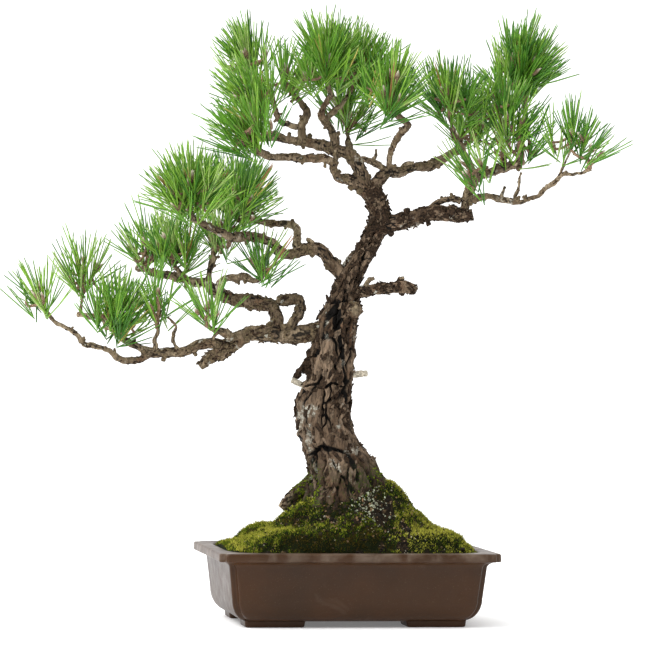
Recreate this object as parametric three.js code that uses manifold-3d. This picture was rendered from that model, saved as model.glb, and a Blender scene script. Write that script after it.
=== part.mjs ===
// A japanese black pine bonsai in its unglazed, rectangular pot.
// Millimetres, +Z up. The pot lies square to X and Y, and the tree is turned a little in it.

import * as THREE from 'three';
import { mergeVertices } from 'three/addons/utils/BufferGeometryUtils.js';
import Module from 'manifold-3d';

const wasm = await Module();
wasm.setup();
const { Manifold } = wasm;

// Pot: outer size of the rim, and how far each part of the side stands in from it
const RIM_LENGTH = 330;
const RIM_DEPTH = 236;
const RIM_TOP = 87.4;
const RIM_THICKNESS = 10;
const RIM_WIDTH = 16;
const CORNER_NOTCH = 7;
const WALL_INSET = 14;
const COVE_HEIGHT = 8;
const BELLY_INSET = 4;
const FOOT_CURVE_INSET = 20;
const FOOT_CURVE_TOP = 34;
const POT_UNDERSIDE = 7;
const POT_FLOOR = 15;
const CAVITY_TAPER = 11;
const CAVITY_SQUARENESS = 7;
const FOOT_LENGTH = 72;
const FOOT_DEPTH = 46;
const FOOT_INSET = 34;
const FOOT_CHAMFER = 3;
const RIM_LIP = 1.2;
const SIDE_STEPS = 5;
const COVE_STEPS = 3;
const COVE_OVERHANG = 3;

// Soil: it fills the pot, rises inside the rim and is heaped up to the foot of the trunk
const SOIL_EDGE = 82;
const EDGE_RISE = 22;
const EDGE_ROLL = 0.25;
const HEAP_RISE = 52;
const HEAP_LEAN = 8;
const HEAP_LEAN_REACH = 50;
const HEAP_MIDDLE = 4;
const HEAP_LENGTH = 152;
const HEAP_DEPTH = 118;
const HEAP_START = 0.74;
const HEAP_SPAN = 0.45;
const SOIL_SECTORS = 24;
const SOIL_RINGS = [1, 0.93, 0.8, 0.66, 0.52, 0.38, 0.2];
const SOIL_CLEARANCE = 0.6;
const MOSS_THICKNESS = 5;
const MOSS_SIDES = 12;
const MOSS_WAVE = 0.08;

// Tree
const TREE_TURN = -10;
const GROUND_CUT = 136;
const CLEARANCE = 0.35;
const RING_SPACING = 16;
const TRUNK_SIDES = 12;
const BOUGH_SIDES = 5;
const TWIG_SIDES = 3;

// The tree is measured as it is seen from this far in front, level with this height,
// so what lies further back than the trunk is spread out in proportion
const VIEW_DISTANCE = 4000;
const VIEW_ACROSS = -26.5;
const VIEW_HEIGHT = 349.6;

// Foliage
const NEEDLE = 56;
const NEEDLE_SHARE = [0.8, 1, 0.92];
const SPRAY_RADIUS = 2.9;
const SPRAY_LENGTH = 9;
// Rings of a spray's core: [share of its radius, share of its length, turn in steps]
const SPRAY_ROWS = [[0.6, 0, 0], [1, 0.28, 0.5], [0.85, 0.72, 0]];
const STEM_START = 0.8;
const STEM_END = 2.2;
const STEM_DROP = 8;
const STEM_FORKS = 0.28;
const TWIG_SAG = 4;
const TWIG_START = 2;
const TWIG_END = 1.5;
const GOLDEN_ANGLE = 2.39996;
const SPLAY = 0.9;
const UPWARD = 0.95;
const TURN_JITTER = 0.6;
const RISE_JITTER = 0.8;
const SPACE_MARGIN = 0.06;
const NEEDLE_ROOM = 7;

// Way-points of each limb: [across, height, depth behind the trunk, radius]
const TRUNK = [
  [-3, 132, 0, 50], [-4, 152, 0, 47], [-5, 171, 0, 43], [-16, 198, 3, 34], [-25, 225, 6, 31],
  [-26, 255, 6, 30], [-19, 283, 2, 26], [-15.5, 320, -5, 25], [-13, 345, -8, 23.5],
  [-6, 370, -9, 19.5], [-2, 398, -7, 16], [8, 420, -3, 15.5], [19, 440, 1, 14.5],
  [31, 462, 4, 15], [36, 480, 3, 13.6], [30, 495, 1, 14.2], [24, 512, 0, 12],
];

// Each root leaves the trunk's foot in its own direction: [turn in degrees, reach, radius]
const ROOTS = [[-8, 62, 15], [62, 40, 12], [128, 44, 13], [186, 62, 9], [236, 44, 12], [300, 36, 13]];
const ROOT_TOP = 186;
const ROOT_START = 22;
// A root on its way down: [share of its reach, drop, share of its radius]
const ROOT_BENDS = [[0, 0, 1], [0.6, 22, 1], [0.9, 36, 0.85], [1.15, 54, 0.6]];

const LIMBS = {
  low_left_bough: [
    [-26, 342, -6, 13], [-58, 338, -8, 10], [-100, 338, -14, 8.8], [-122, 334, -17, 9],
    [-145, 318, -20, 9.4], [-160, 310, -21, 7.5], [-174, 299, -21, 5]],
  low_left_strand: [
    [-138, 322, -18, 6], [-154, 325.5, -22, 6.8], [-172, 325, -26, 6.6], [-188, 317, -29, 6.4],
    [-204, 313, -31, 6.3], [-220, 314, -34, 6], [-235, 314, -36, 5.6]],
  far_left_front_limb: [
    [-232, 313, -36, 5], [-246, 307, -42, 5], [-260, 303, -48, 4.6], [-268, 308, -53, 4.2],
    [-282, 317, -60, 3.6], [-300, 321, -68, 3.3], [-312, 323, -72, 3], [-321, 335, -76, 2.8],
    [-345, 350, -84, 2.6], [-362, 371, -90, 2.4]],
  far_left_back_limb: [
    [-230, 315, -34, 4.8], [-246, 320, -26, 4.4], [-262, 329, -14, 4.1], [-274, 340, -2, 4],
    [-286, 351, 10, 4], [-300, 357, 24, 3.8], [-318, 358, 38, 3.4]],
  loop_limb: [
    [-70, 342, -10, 5], [-64, 353, -6, 5], [-56, 360, -2, 5], [-54, 370, 2, 5],
    [-60, 380, 6, 5], [-73, 380, 9, 5], [-82, 378, 12, 4.4]],
  mid_left_bough: [
    [-84, 342, -12, 6], [-84, 360, 0, 5.6], [-88, 372, 10, 6.4], [-102, 374, 18, 6.9],
    [-122, 376, 28, 7], [-142, 381, 40, 7.5], [-158, 389, 50, 7.2], [-168, 398, 56, 6],
    [-186, 400, 66, 5.2], [-212, 405, 80, 4.6], [-236, 411, 94, 4], [-250, 414, 102, 3.5]],
  mid_left_riser: [
    [-165, 396, 54, 4.2], [-163, 415, 58, 4], [-160, 432, 62, 3.8], [-153, 452, 66, 3.4]],
  mid_left_curl: [
    [-147, 384, 42, 4.8], [-151, 396, 30, 4.6], [-142, 405, 20, 4.6], [-126, 404, 8, 4.3],
    [-106, 402, -8, 4], [-99, 409, -18, 3.8], [-97, 415, -24, 3.4]],
  second_left_bough: [
    [-6, 408, -5, 9], [-22, 424, -8, 8.4], [-33, 437, -10, 8], [-48, 438, -12, 7.6],
    [-72, 433, -18, 7.2], [-92, 447, -28, 6], [-112, 452, -40, 6], [-134, 452, -54, 5.8],
    [-152, 457, -66, 5], [-168, 466, -76, 4.8], [-185, 474, -86, 4.2]],
  second_left_back_limb: [
    [-62, 434, -14, 5], [-60, 451, 0, 4.6], [-63, 465, 14, 4.5], [-80, 468, 34, 4.4],
    [-102, 470, 56, 4.3], [-122, 472, 76, 4], [-134, 477, 88, 4], [-141, 486, 96, 3.6]],
  top_left_front_bough: [
    [22, 508, -2, 8.5], [0, 521, -8, 7.4], [-11, 524, -14, 6], [-18, 533, -20, 5],
    [-22, 543, -26, 4.8], [-40, 546, -38, 5], [-64, 546.5, -54, 4.6], [-88, 547, -70, 4.1],
    [-102, 551, -80, 4.6], [-112, 558, -88, 4.6], [-122, 568, -94, 3.8]],
  top_left_back_bough: [
    [22, 508, 2, 9], [13, 534, 6, 8], [2, 549, 14, 7.6], [-14, 556, 26, 7.6], [-32, 561, 40, 7.6],
    [-52, 566, 54, 6.6], [-72, 568, 70, 5.6], [-90, 572, 84, 5.6], [-103, 569, 94, 4.8],
    [-115, 567, 102, 4]],
  top_left_riser: [
    [-55, 566, 56, 5.4], [-57, 583, 50, 5], [-51, 600, 42, 4.8], [-60, 613, 34, 4.2],
    [-70, 623, 28, 3.6], [-83, 636, 22, 3]],
  top_left_high_limb: [
    [-57, 582, 50, 3.8], [-72, 585, 56, 3.7], [-84, 593, 60, 3.5], [-90, 612, 58, 3.2],
    [-99, 637, 54, 2.8]],
  top_mid_riser: [
    [-17, 556, 26, 5.6], [-20, 572, 20, 5.2], [-27, 587, 10, 5], [-34, 600, 2, 4.5],
    [-29, 612, -6, 3.9], [-22, 622, -12, 3.3]],
  top_right_back_bough: [
    [25, 510, 4, 9], [42, 530, 14, 7.4], [62, 533, 30, 6.8], [80, 537, 48, 6.1], [93, 540, 62, 6.1],
    [106, 547, 78, 6], [120, 555, 94, 5.2], [130, 563, 106, 4.4]],
  top_right_front_riser: [
    [46, 531, 17, 4.2], [47, 550, 4, 3.9], [53, 566, -12, 4], [63, 580, -28, 4],
    [68, 587, -38, 4], [60, 594, -48, 3.7], [50, 602, -58, 3.3]],
  right_bough: [
    [36, 466, 4, 11], [60, 474.5, -2, 9.4], [80, 479, -8, 9.4], [100, 482, -14, 9],
    [120, 481.5, -20, 9.3], [135, 481, -24, 8], [146, 483, -26, 5.5]],
  right_strand: [
    [92, 483, -12, 4.6], [101, 495, -14, 4.2], [112, 499, -17, 4], [123, 500.5, -20, 4],
    [132, 498, -22, 4]],
  right_riser: [
    [136, 484, -24, 6], [139, 502, -20, 5.6], [144, 514, -15, 5.8], [147, 529, -10, 6],
    [140, 545, -6, 5.2], [132, 559, -4, 4.4], [125, 572, -4, 3.8], [120, 585, -6, 3.3]],
  right_back_limb: [
    [146, 523, -12, 5.8], [161, 531, 4, 5.6], [180, 537, 24, 5.4], [191, 541, 40, 5],
    [204, 545, 58, 4.4]],
  right_front_limb: [
    [139, 498, -22, 5], [153, 503, -32, 4.7], [168, 503.5, -42, 4.5], [184, 501, -52, 4],
    [201, 498.5, -62, 3.6], [222, 505, -72, 3.3], [231, 515, -77, 3.2], [243, 522, -82, 3],
    [257, 534, -90, 2.7]],
  dead_stub: [
    [-6, 387, -9, 8], [12, 390, -11, 7.4], [30, 393, -13, 7.1], [50, 395, -15, 7.2],
    [62, 396.5, -16, 7.9], [73, 395, -17, 6.8], [81, 391, -18, 4.4]],
  left_peg: [[-34, 272, 2, 2.8], [-48, 277, -2, 2.8], [-65, 284, -6, 2.6]],
  right_peg: [[-8, 291, -10, 3.8], [5, 292, -22, 3.8], [22, 293, -34, 3.6]],
};

// Limbs that are one piece with what they grow on
const FUSED = { left_peg: 'trunk', right_peg: 'trunk', loop_limb: 'mid_left_bough' };

// Masses of foliage: the limb each grows on and how far along it, the middle of its shoots
// [across, height, depth], their spread [across, height, depth], their number and their lean
const MASSES = {
  far_left_tip: ['far_left_front_limb', 1, [-363, 381, -95], [8, 6, 11], 3, -0.5],
  far_left_crest: ['far_left_back_limb', 1, [-312, 411, 36], [17, 15, 22], 4, -0.1],
  far_left_middle: ['far_left_back_limb', 0.6, [-266, 358, -22], [15, 8, 22], 4, 0.3],
  left_fork: ['low_left_strand', 0.93, [-224, 370, -42], [8, 11, 16], 3, 0.15],
  left_twig: ['low_left_bough', 0.55, [-167, 361, -60], [8, 6, 12], 2, -0.4],
  left_back: ['mid_left_bough', 1, [-238, 438, 108], [20, 12, 24], 5, -0.35],
  left_inner: ['mid_left_bough', 0.77, [-207, 437, 58], [9, 10, 16], 2, -0.1],
  left_riser_tip: ['mid_left_riser', 1, [-156, 466, 76], [14, 10, 20], 3, -0.1],
  left_curl_tip: ['mid_left_curl', 1, [-98, 417, -38], [9, 6, 13], 2, 0.2],
  second_left_front: ['second_left_bough', 1, [-191, 508, -84], [17, 9, 24], 5, -0.3],
  second_left_back: ['second_left_back_limb', 1, [-136, 507, 84], [15, 8, 24], 4, 0.15],
  second_left_middle: ['second_left_back_limb', 0.82, [-120, 501, 14], [13, 8, 16], 3, 0.7],
  top_left_front: ['top_left_front_bough', 1, [-129, 579, -100], [12, 8, 18], 3, -0.7],
  top_left_side: ['top_left_front_bough', 0.9, [-129, 619, -62], [10, 11, 18], 4, -0.5],
  top_left_back: ['top_left_back_bough', 1, [-114, 612, 104], [15, 11, 20], 3, -0.1],
  top_left_crest: ['top_left_high_limb', 1, [-116, 668, 46], [8, 11, 14], 4, -0.45],
  top_left_inner: ['top_left_riser', 1, [-77, 641, 8], [16, 7, 18], 3, 0.05],
  top_mid_crest: ['top_mid_riser', 1, [-30, 655, -22], [11, 13, 20], 4, 0],
  top_mid_back: ['top_mid_riser', 0.5, [8, 652, 36], [13, 10, 22], 4, 0.25],
  top_mid_inner: ['top_left_back_bough', 0.25, [-4, 604, 66], [15, 11, 20], 3, 0],
  top_right_front: ['top_right_front_riser', 1, [50, 629, -72], [12, 17, 24], 5, 0.35],
  right_back: ['top_right_back_bough', 1, [143, 590, 112], [18, 12, 26], 4, 0.05],
  right_inner: ['right_riser', 1, [117, 622, -10], [10, 12, 18], 4, -0.2],
  right_middle: ['right_back_limb', 0.6, [177, 613, 20], [12, 12, 18], 4, -0.1],
  right_crest: ['right_back_limb', 1, [207, 650, 58], [16, 18, 28], 6, 0.35],
  right_side: ['right_back_limb', 0.85, [200, 576, 4], [13, 13, 16], 3, 0.5],
  right_low: ['right_riser', 0.4, [138, 530, -58], [8, 9, 14], 3, -1.1],
  far_right_up: ['right_front_limb', 0.93, [263, 579, -78], [5, 4, 10], 2, 0.15],
  far_right_tip: ['right_front_limb', 1, [285, 553, -104], [8, 7, 9], 2, 0.9],
};

const COLOURS = {
  pot: 0x4e3a2e, soil: 0x3d3226, moss: 0x5c6a22, bark: 0x54463a, deadwood: 0x8d8070, foliage: 0x3f8a26,
};

// A solid from stacked rings of equal count, closed at both ends by fans
function loft(rings) {
  const count = rings[0].length;
  const vertices = rings.flat();
  const faces = [];
  for (let row = 0; row + 1 < rings.length; row += 1) {
    for (let side = 0; side < count; side += 1) {
      const a = row * count + side;
      const b = row * count + ((side + 1) % count);
      faces.push(a, b, b + count, a, b + count, a + count);
    }
  }
  for (const [start, flip] of [[0, true], [(rings.length - 1) * count, false]]) {
    if (count === 3) {
      faces.push(start, start + (flip ? 2 : 1), start + (flip ? 1 : 2));
      continue;
    }
    const middle = new THREE.Vector3();
    for (let side = 0; side < count; side += 1) {
      middle.addScaledVector(vertices[start + side], 1 / count);
    }
    const hub = vertices.push(middle) - 1;
    for (let side = 0; side < count; side += 1) {
      const a = start + side;
      const b = start + ((side + 1) % count);
      faces.push(hub, flip ? b : a, flip ? a : b);
    }
  }
  return solidOf(new THREE.BufferGeometry().setFromPoints(vertices).setIndex(faces));
}

function solidOf(geometry) {
  const merged = mergeVertices(geometry, 1e-3);
  const vertProperties = new Float32Array(merged.attributes.position.array);
  const triVerts = new Uint32Array(merged.index.array);
  return new Manifold(new wasm.Mesh({ numProp: 3, vertProperties, triVerts }));
}

function meshOf(name, solid, colour, roughness = 0.9) {
  const { vertProperties, triVerts } = solid.getMesh();
  const geometry = new THREE.BufferGeometry();
  geometry.setAttribute('position', new THREE.BufferAttribute(new Float32Array(vertProperties), 3));
  geometry.setIndex(new THREE.BufferAttribute(new Uint32Array(triVerts), 1));
  geometry.computeVertexNormals();
  const mesh = new THREE.Mesh(geometry, new THREE.MeshStandardMaterial({ color: colour, roughness }));
  mesh.name = name;
  return mesh;
}

// Loose scraps are dropped, so that a node is one body
function largest(solid) {
  return solid.decompose().reduce((best, body) => (body.volume() > best.volume() ? body : best));
}

function smooth(value) {
  const t = Math.min(Math.max(value, 0), 1);
  return t * t * (3 - 2 * t);
}

// Pot

function notchedRing(inset, z) {
  const x = RIM_LENGTH / 2 - inset;
  const y = RIM_DEPTH / 2 - inset;
  const n = CORNER_NOTCH;
  const ring = [];
  for (const [sx, sy] of [[1, 1], [-1, 1], [-1, -1], [1, -1]]) {
    const corner = [[x, y - n], [x - n, y - n], [x - n, y]];
    if (sx * sy < 0) corner.reverse();
    corner.forEach(([px, py]) => ring.push(new THREE.Vector3(sx * px, sy * py, z)));
  }
  return ring;
}

// The side curves in to the underside, rises almost straight and flares in a cove to the rim
function potSide() {
  const rings = [];
  const underRim = RIM_TOP - RIM_THICKNESS;
  for (let step = 0; step <= SIDE_STEPS; step += 1) {
    const angle = (step / SIDE_STEPS) * Math.PI / 2;
    const inset = WALL_INSET + BELLY_INSET + FOOT_CURVE_INSET * (1 - Math.sin(angle));
    const z = POT_UNDERSIDE + (FOOT_CURVE_TOP - POT_UNDERSIDE) * (1 - Math.cos(angle));
    rings.push(notchedRing(inset, z));
  }
  rings.push(notchedRing(WALL_INSET, underRim - COVE_HEIGHT));
  for (let step = 1; step <= COVE_STEPS; step += 1) {
    const angle = (step / COVE_STEPS) * Math.PI / 2;
    const inset = COVE_OVERHANG + (WALL_INSET - COVE_OVERHANG) * Math.cos(angle);
    rings.push(notchedRing(inset, underRim - COVE_HEIGHT * (1 - Math.sin(angle))));
  }
  rings.push(notchedRing(0, underRim + RIM_LIP));
  rings.push(notchedRing(0, RIM_TOP - RIM_LIP));
  rings.push(notchedRing(RIM_LIP, RIM_TOP));
  return loft(rings);
}

// A rounded rectangle in even angles, shrunk or grown by a margin
function cavityRing(z, share, margin, height = () => z) {
  const drop = (RIM_TOP - z) / (RIM_TOP - POT_FLOOR);
  const x = RIM_LENGTH / 2 - RIM_WIDTH - CAVITY_TAPER * drop + margin;
  const y = RIM_DEPTH / 2 - RIM_WIDTH - CAVITY_TAPER * drop + margin;
  const ring = [];
  for (let side = 0; side < SOIL_SECTORS; side += 1) {
    const angle = (side / SOIL_SECTORS) * Math.PI * 2;
    const square = CAVITY_SQUARENESS;
    const across = Math.abs(Math.cos(angle) / x) ** square + Math.abs(Math.sin(angle) / y) ** square;
    const reach = share / across ** (1 / square);
    const px = reach * Math.cos(angle);
    const py = reach * Math.sin(angle);
    ring.push(new THREE.Vector3(px, py, height(px, py)));
  }
  return ring;
}

// Which side of the pot each foot is on: [across, depth]
const FEET = {
  foot_front_left: [-1, -1],
  foot_front_right: [1, -1],
  foot_back_left: [-1, 1],
  foot_back_right: [1, 1],
};

function foot([signX, signY]) {
  const x = RIM_LENGTH / 2 - FOOT_INSET;
  const y = RIM_DEPTH / 2 - FOOT_INSET;
  const ring = (z, chamfer) => {
    const near = [x - FOOT_LENGTH + chamfer, y - FOOT_DEPTH + chamfer];
    const far = [x - chamfer / 2, y - chamfer / 2];
    const square = [[near[0], near[1]], [far[0], near[1]], [far[0], far[1]], [near[0], far[1]]];
    if (signX * signY < 0) square.reverse();
    return square.map(([px, py]) => new THREE.Vector3(signX * px, signY * py, z));
  };
  return loft([ring(0, FOOT_CHAMFER), ring(POT_UNDERSIDE - CLEARANCE, 0)]);
}

function pot() {
  const cavity = loft([cavityRing(POT_FLOOR, 1, 0), cavityRing(RIM_TOP + 5, 1, 0)]);
  return potSide().subtract(cavity);
}

// Soil and moss

function heapHeight(x, y, share) {
  const edge = EDGE_RISE * Math.sin((Math.PI / 2) * Math.min(1, (1 - share) / EDGE_ROLL));
  const distance = Math.hypot((x - HEAP_MIDDLE) / HEAP_LENGTH, y / HEAP_DEPTH);
  const rise = HEAP_RISE + HEAP_LEAN * Math.min(Math.max(x / HEAP_LEAN_REACH, -1), 1);
  return SOIL_EDGE + edge + rise * smooth((HEAP_START - distance) / HEAP_SPAN);
}

function heap(lift = 0) {
  const rings = [cavityRing(POT_FLOOR + CLEARANCE, 1, -SOIL_CLEARANCE)];
  for (const share of SOIL_RINGS) {
    const surface = (x, y) => heapHeight(x, y, share) + lift;
    rings.push(cavityRing(SOIL_EDGE, share, -SOIL_CLEARANCE, surface));
  }
  return loft(rings);
}

// A patch of moss follows the soil under it: [middle across, middle depth, half length, half depth]
const MOSS_PATCHES = {
  moss_front_left: [-62, -58, 84, 36],
  moss_right: [104, -14, 40, 62],
};

function mossPatch([x, y, halfLength, halfDepth], obstacles) {
  const ring = (z) => Array.from({ length: MOSS_SIDES }, (_, side) => {
    const angle = (side / MOSS_SIDES) * Math.PI * 2;
    const wave = 1 + MOSS_WAVE * Math.sin(3 * angle + x);
    return new THREE.Vector3(
      x + halfLength * wave * Math.cos(angle), y + halfDepth * wave * Math.sin(angle), z);
  });
  const column = loft([ring(SOIL_EDGE + 2), ring(RIM_TOP * 2)]);
  const patch = heap(MOSS_THICKNESS).intersect(column).subtract(heap(CLEARANCE));
  return largest(obstacles.reduce((rest, obstacle) => rest.subtract(obstacle), patch));
}

// Limbs

function seen([across, height, depth]) {
  const spread = 1 + depth / VIEW_DISTANCE;
  return new THREE.Vector3(
    VIEW_ACROSS + (across - VIEW_ACROSS) * spread, depth, VIEW_HEIGHT + (height - VIEW_HEIGHT) * spread);
}

function between(a, b, c, d, t) {
  const straight = c - a;
  const bend = 2 * a - 5 * b + 4 * c - d;
  const twist = 3 * (b - c) + d - a;
  return b + 0.5 * t * (straight + t * (bend + t * twist));
}

// A place on a limb that runs smoothly through its way-points: t is 0 at its foot and 1 at its tip
function onLimb(way, t) {
  const last = way.length - 1;
  const start = Math.min(Math.floor(t * last), last - 1);
  const four = [start - 1, start, start + 1, start + 2].map((i) => way[Math.min(Math.max(i, 0), last)]);
  const values = way[0].map((_, k) => between(...four.map((point) => point[k]), t * last - start));
  return { point: seen(values), radius: values[3] };
}

function limbLength(way) {
  let length = 0;
  for (let i = 1; i < way.length; i += 1) {
    length += seen(way[i]).distanceTo(seen(way[i - 1]));
  }
  return length;
}

// Rings square to the limb, each turned as little as it can be from the one before
function limbRings(places, sides, grow) {
  const last = places.length - 1;
  const side = new THREE.Vector3(0, 1, 0);
  return places.map(({ point, radius }, i) => {
    const ahead = places[Math.min(i + 1, last)].point.clone();
    const along = ahead.sub(places[Math.max(i - 1, 0)].point).normalize();
    side.addScaledVector(along, -side.dot(along)).normalize();
    const third = new THREE.Vector3().crossVectors(along, side);
    const end = (i === last ? grow : 0) - (i === 0 ? grow : 0);
    return Array.from({ length: sides }, (_, k) => {
      const angle = (k / sides) * Math.PI * 2;
      return point.clone().addScaledVector(along, end)
        .addScaledVector(side, (radius + grow) * Math.cos(angle))
        .addScaledVector(third, (radius + grow) * Math.sin(angle));
    });
  });
}

function limb(way, grow = 0) {
  const thick = way[Math.floor(way.length / 2)][3];
  const sides = way === TRUNK ? TRUNK_SIDES : BOUGH_SIDES + (thick > 6.5 ? 1 : 0);
  const steps = Math.max(2, Math.round(limbLength(way) / RING_SPACING));
  const places = Array.from({ length: steps + 1 }, (_, i) => onLimb(way, i / steps));
  return loft(limbRings(places, sides, grow));
}

function rootWay([turn, reach, radius]) {
  const angle = THREE.MathUtils.degToRad(turn);
  const [across, , depth] = TRUNK[1];
  return ROOT_BENDS.map(([share, drop, thickness]) => {
    const distance = Math.max(ROOT_START, share * reach);
    return [across + distance * Math.cos(angle), ROOT_TOP - drop, depth + distance * Math.sin(angle),
      radius * thickness];
  });
}

// A limb with those that are one piece with it
function withFused(name, way, grow) {
  const others = Object.keys(FUSED).filter((other) => FUSED[other] === name);
  return Manifold.union([limb(way, grow), ...others.map((other) => limb(LIMBS[other], grow))]);
}

// Trunk and roots end in one flat cut at ground level
function trunk(grow = 0) {
  const roots = ROOTS.map((root) => limb(rootWay(root), grow));
  const whole = Manifold.union([withFused('trunk', TRUNK, grow), ...roots]);
  const below = new THREE.BoxGeometry(RIM_LENGTH, RIM_LENGTH, GROUND_CUT);
  below.deleteAttribute('normal');
  below.deleteAttribute('uv');
  below.translate(0, 0, GROUND_CUT / 2 - grow);
  return whole.subtract(solidOf(below));
}

// Foliage

function seeded(seed) {
  let state = (seed * 2654435761) >>> 0;
  return () => {
    state = (Math.imul(state, 1664525) + 1013904223) >>> 0;
    return state / 4294967296;
  };
}

function massOf([on, share, middle, spread, count, lean], seed) {
  return { on, share, middle: seen(middle), spread, count, lean, seed };
}

// The golden angle spreads the shoots evenly round the middle, and the outer ones lie lower
function shootsOf({ middle, spread, count, lean, seed }) {
  const random = seeded(seed + 1);
  return Array.from({ length: count }, (_, i) => {
    const out = count > 1 ? Math.sqrt((i + 0.25) / (count - 0.5)) : 0;
    const turn = seed * 1.7 + i * GOLDEN_ANGLE + (random() - 0.5) * TURN_JITTER;
    const rise = 1 - 2 * ((i + 0.5) / count) + (random() - 0.5) * RISE_JITTER;
    const away = new THREE.Vector3(out * Math.cos(turn), out * Math.sin(turn), 0);
    const base = new THREE.Vector3(away.x * spread[0], away.y * spread[2], rise * spread[1]);
    const axis = away.multiplyScalar(SPLAY).add(new THREE.Vector3(lean, 0, UPWARD)).normalize();
    return { base: base.add(middle), axis };
  });
}

// How far out of its mass's space a point lies: under 1 is inside
function outOfSpace(point, { middle, spread }) {
  const away = point.clone().sub(middle);
  const reach = NEEDLE * 1.08;
  return Math.hypot(
    away.x / (spread[0] + reach), away.y / (spread[2] + reach), away.z / (spread[1] + reach));
}

function inOwnSpace(point, mass, masses) {
  const own = outOfSpace(point, mass);
  return own < 1 && masses.every((other) => other === mass
    || own + SPACE_MARGIN < outOfSpace(point, other));
}

function clearOfLimbs(from, to, beads) {
  const line = new THREE.Line3(from, to);
  const nearest = new THREE.Vector3();
  return beads.every(({ point, radius }) => {
    line.closestPointToPoint(point, true, nearest);
    return nearest.distanceTo(point) > radius + 2.5;
  });
}

// A needle is left out where it would run through one that is already there
function clearOfNeedles(needle, placed) {
  const place = new THREE.Vector3();
  const nearest = new THREE.Vector3();
  return placed.every((other) => [0.3, 0.5, 0.7, 0.9].every((t) => {
    needle.at(t, place);
    other.closestPointToPoint(place, true, nearest);
    return nearest.distanceTo(place) > NEEDLE_ROOM * (1.2 - t);
  }));
}

// Three rings of a slim core and its tip. Each face of the upper rows is drawn out to a needle
// along the line from the core's heart, so no two needles can cross.
function spray(base, axis, turn, allowed) {
  const side = new THREE.Vector3(1, 0, 0.3).cross(axis).normalize();
  const third = new THREE.Vector3().crossVectors(axis, side);
  const at = (radius, height, angle) => base.clone()
    .addScaledVector(axis, height)
    .addScaledVector(side, radius * Math.cos(angle + turn))
    .addScaledVector(third, radius * Math.sin(angle + turn));
  const corner = (ring, k) => ring[(k + 3) % 3];
  const step = (Math.PI * 2) / 3;
  const rings = SPRAY_ROWS.map(([radius, height, shift]) => (
    [0, 1, 2].map((k) => at(radius * SPRAY_RADIUS, height * SPRAY_LENGTH, (k + shift) * step))));
  const tip = at(0, SPRAY_LENGTH, 0);
  const heart = at(0, SPRAY_LENGTH * 0.1, 0);
  const faces = [[rings[0][0], rings[0][2], rings[0][1], 0]];
  for (let k = 0; k < 3; k += 1) {
    faces.push([rings[0][k], rings[0][(k + 1) % 3], rings[1][k], 0]);
    faces.push([rings[1][k], corner(rings[0], k + 1), corner(rings[1], k + 1), NEEDLE_SHARE[0]]);
    faces.push([rings[1][k], corner(rings[1], k + 1), corner(rings[2], k + 1), NEEDLE_SHARE[1]]);
    faces.push([rings[1][k], corner(rings[2], k + 1), rings[2][k], 0]);
    faces.push([rings[2][k], corner(rings[2], k + 1), tip, NEEDLE_SHARE[2]]);
  }
  const points = [];
  for (const [a, b, c, share] of faces) {
    const centre = a.clone().add(b).add(c).divideScalar(3);
    const point = centre.clone().sub(heart).setLength(NEEDLE * share).add(heart);
    if (share > 0 && allowed(centre, point)) {
      points.push(a, b, point, b, c, point, c, a, point);
    } else {
      points.push(a, b, c);
    }
  }
  const geometry = new THREE.BufferGeometry().setFromPoints(points);
  return solidOf(geometry.setIndex(points.map((_, i) => i)));
}

function twig(places, steps) {
  const line = new THREE.QuadraticBezierCurve3(...places.map(({ point }) => point));
  const rings = Array.from({ length: steps + 1 }, (_, i) => {
    const t = i / steps;
    const radius = places[0].radius * (1 - t) + places[2].radius * t;
    return { point: line.getPoint(t), radius };
  });
  return loft(limbRings(rings, TWIG_SIDES, 0));
}

// The stem runs from its limb to below the middle of the shoots
function stemOf(mass) {
  const foot = onLimb(LIMBS[mass.on], mass.share - 0.002);
  const end = mass.middle.clone();
  end.z -= mass.spread[1] + STEM_DROP;
  const bend = foot.point.clone().lerp(end, 0.5);
  bend.z -= TWIG_SAG;
  const radius = Math.max(STEM_END, foot.radius * STEM_START);
  return [{ point: foot.point, radius }, { point: bend, radius: 0 }, { point: end, radius: STEM_END }];
}

function foliage(mass, masses, beads, room) {
  const stem = stemOf(mass);
  const line = new THREE.QuadraticBezierCurve3(...stem.map(({ point }) => point));
  const pieces = [twig(stem, 2)];
  const placed = [];
  shootsOf(mass).forEach(({ base, axis }, i) => {
    const start = line.getPoint(1 - (STEM_FORKS * i) / mass.count);
    const bend = start.clone().lerp(base, 0.5).addScaledVector(axis, -TWIG_SAG);
    const end = base.clone().addScaledVector(axis, SPRAY_LENGTH * 0.3);
    const before = placed.slice();
    const allowed = (from, to) => {
      const needle = new THREE.Line3(from, to);
      const inside = [0.6, 1].every((t) => inOwnSpace(needle.at(t, new THREE.Vector3()), mass, masses));
      const free = inside && clearOfLimbs(from, to, beads) && clearOfNeedles(needle, before);
      if (free) placed.push(needle);
      return free;
    };
    if (!clearOfLimbs(start, base, beads)) {
      return;
    }
    const foot = { point: start, radius: TWIG_START };
    pieces.push(twig([foot, { point: bend, radius: 0 }, { point: end, radius: TWIG_END }], 1));
    pieces.push(spray(base, axis, i + mass.seed, allowed));
  });
  return largest(Manifold.union(pieces).subtract(room));
}

// The limbs as rows of spheres, for keeping needles and twigs clear of them
function limbBeads() {
  const ways = [TRUNK, ...Object.values(LIMBS)];
  return ways.flatMap((way) => {
    const steps = Math.round(limbLength(way) / 4);
    return Array.from({ length: steps + 1 }, (_, i) => onLimb(way, i / steps));
  });
}

const bonsai = new THREE.Group();
const tree = new THREE.Group();
tree.rotation.z = THREE.MathUtils.degToRad(TREE_TURN);
bonsai.add(tree);

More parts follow.
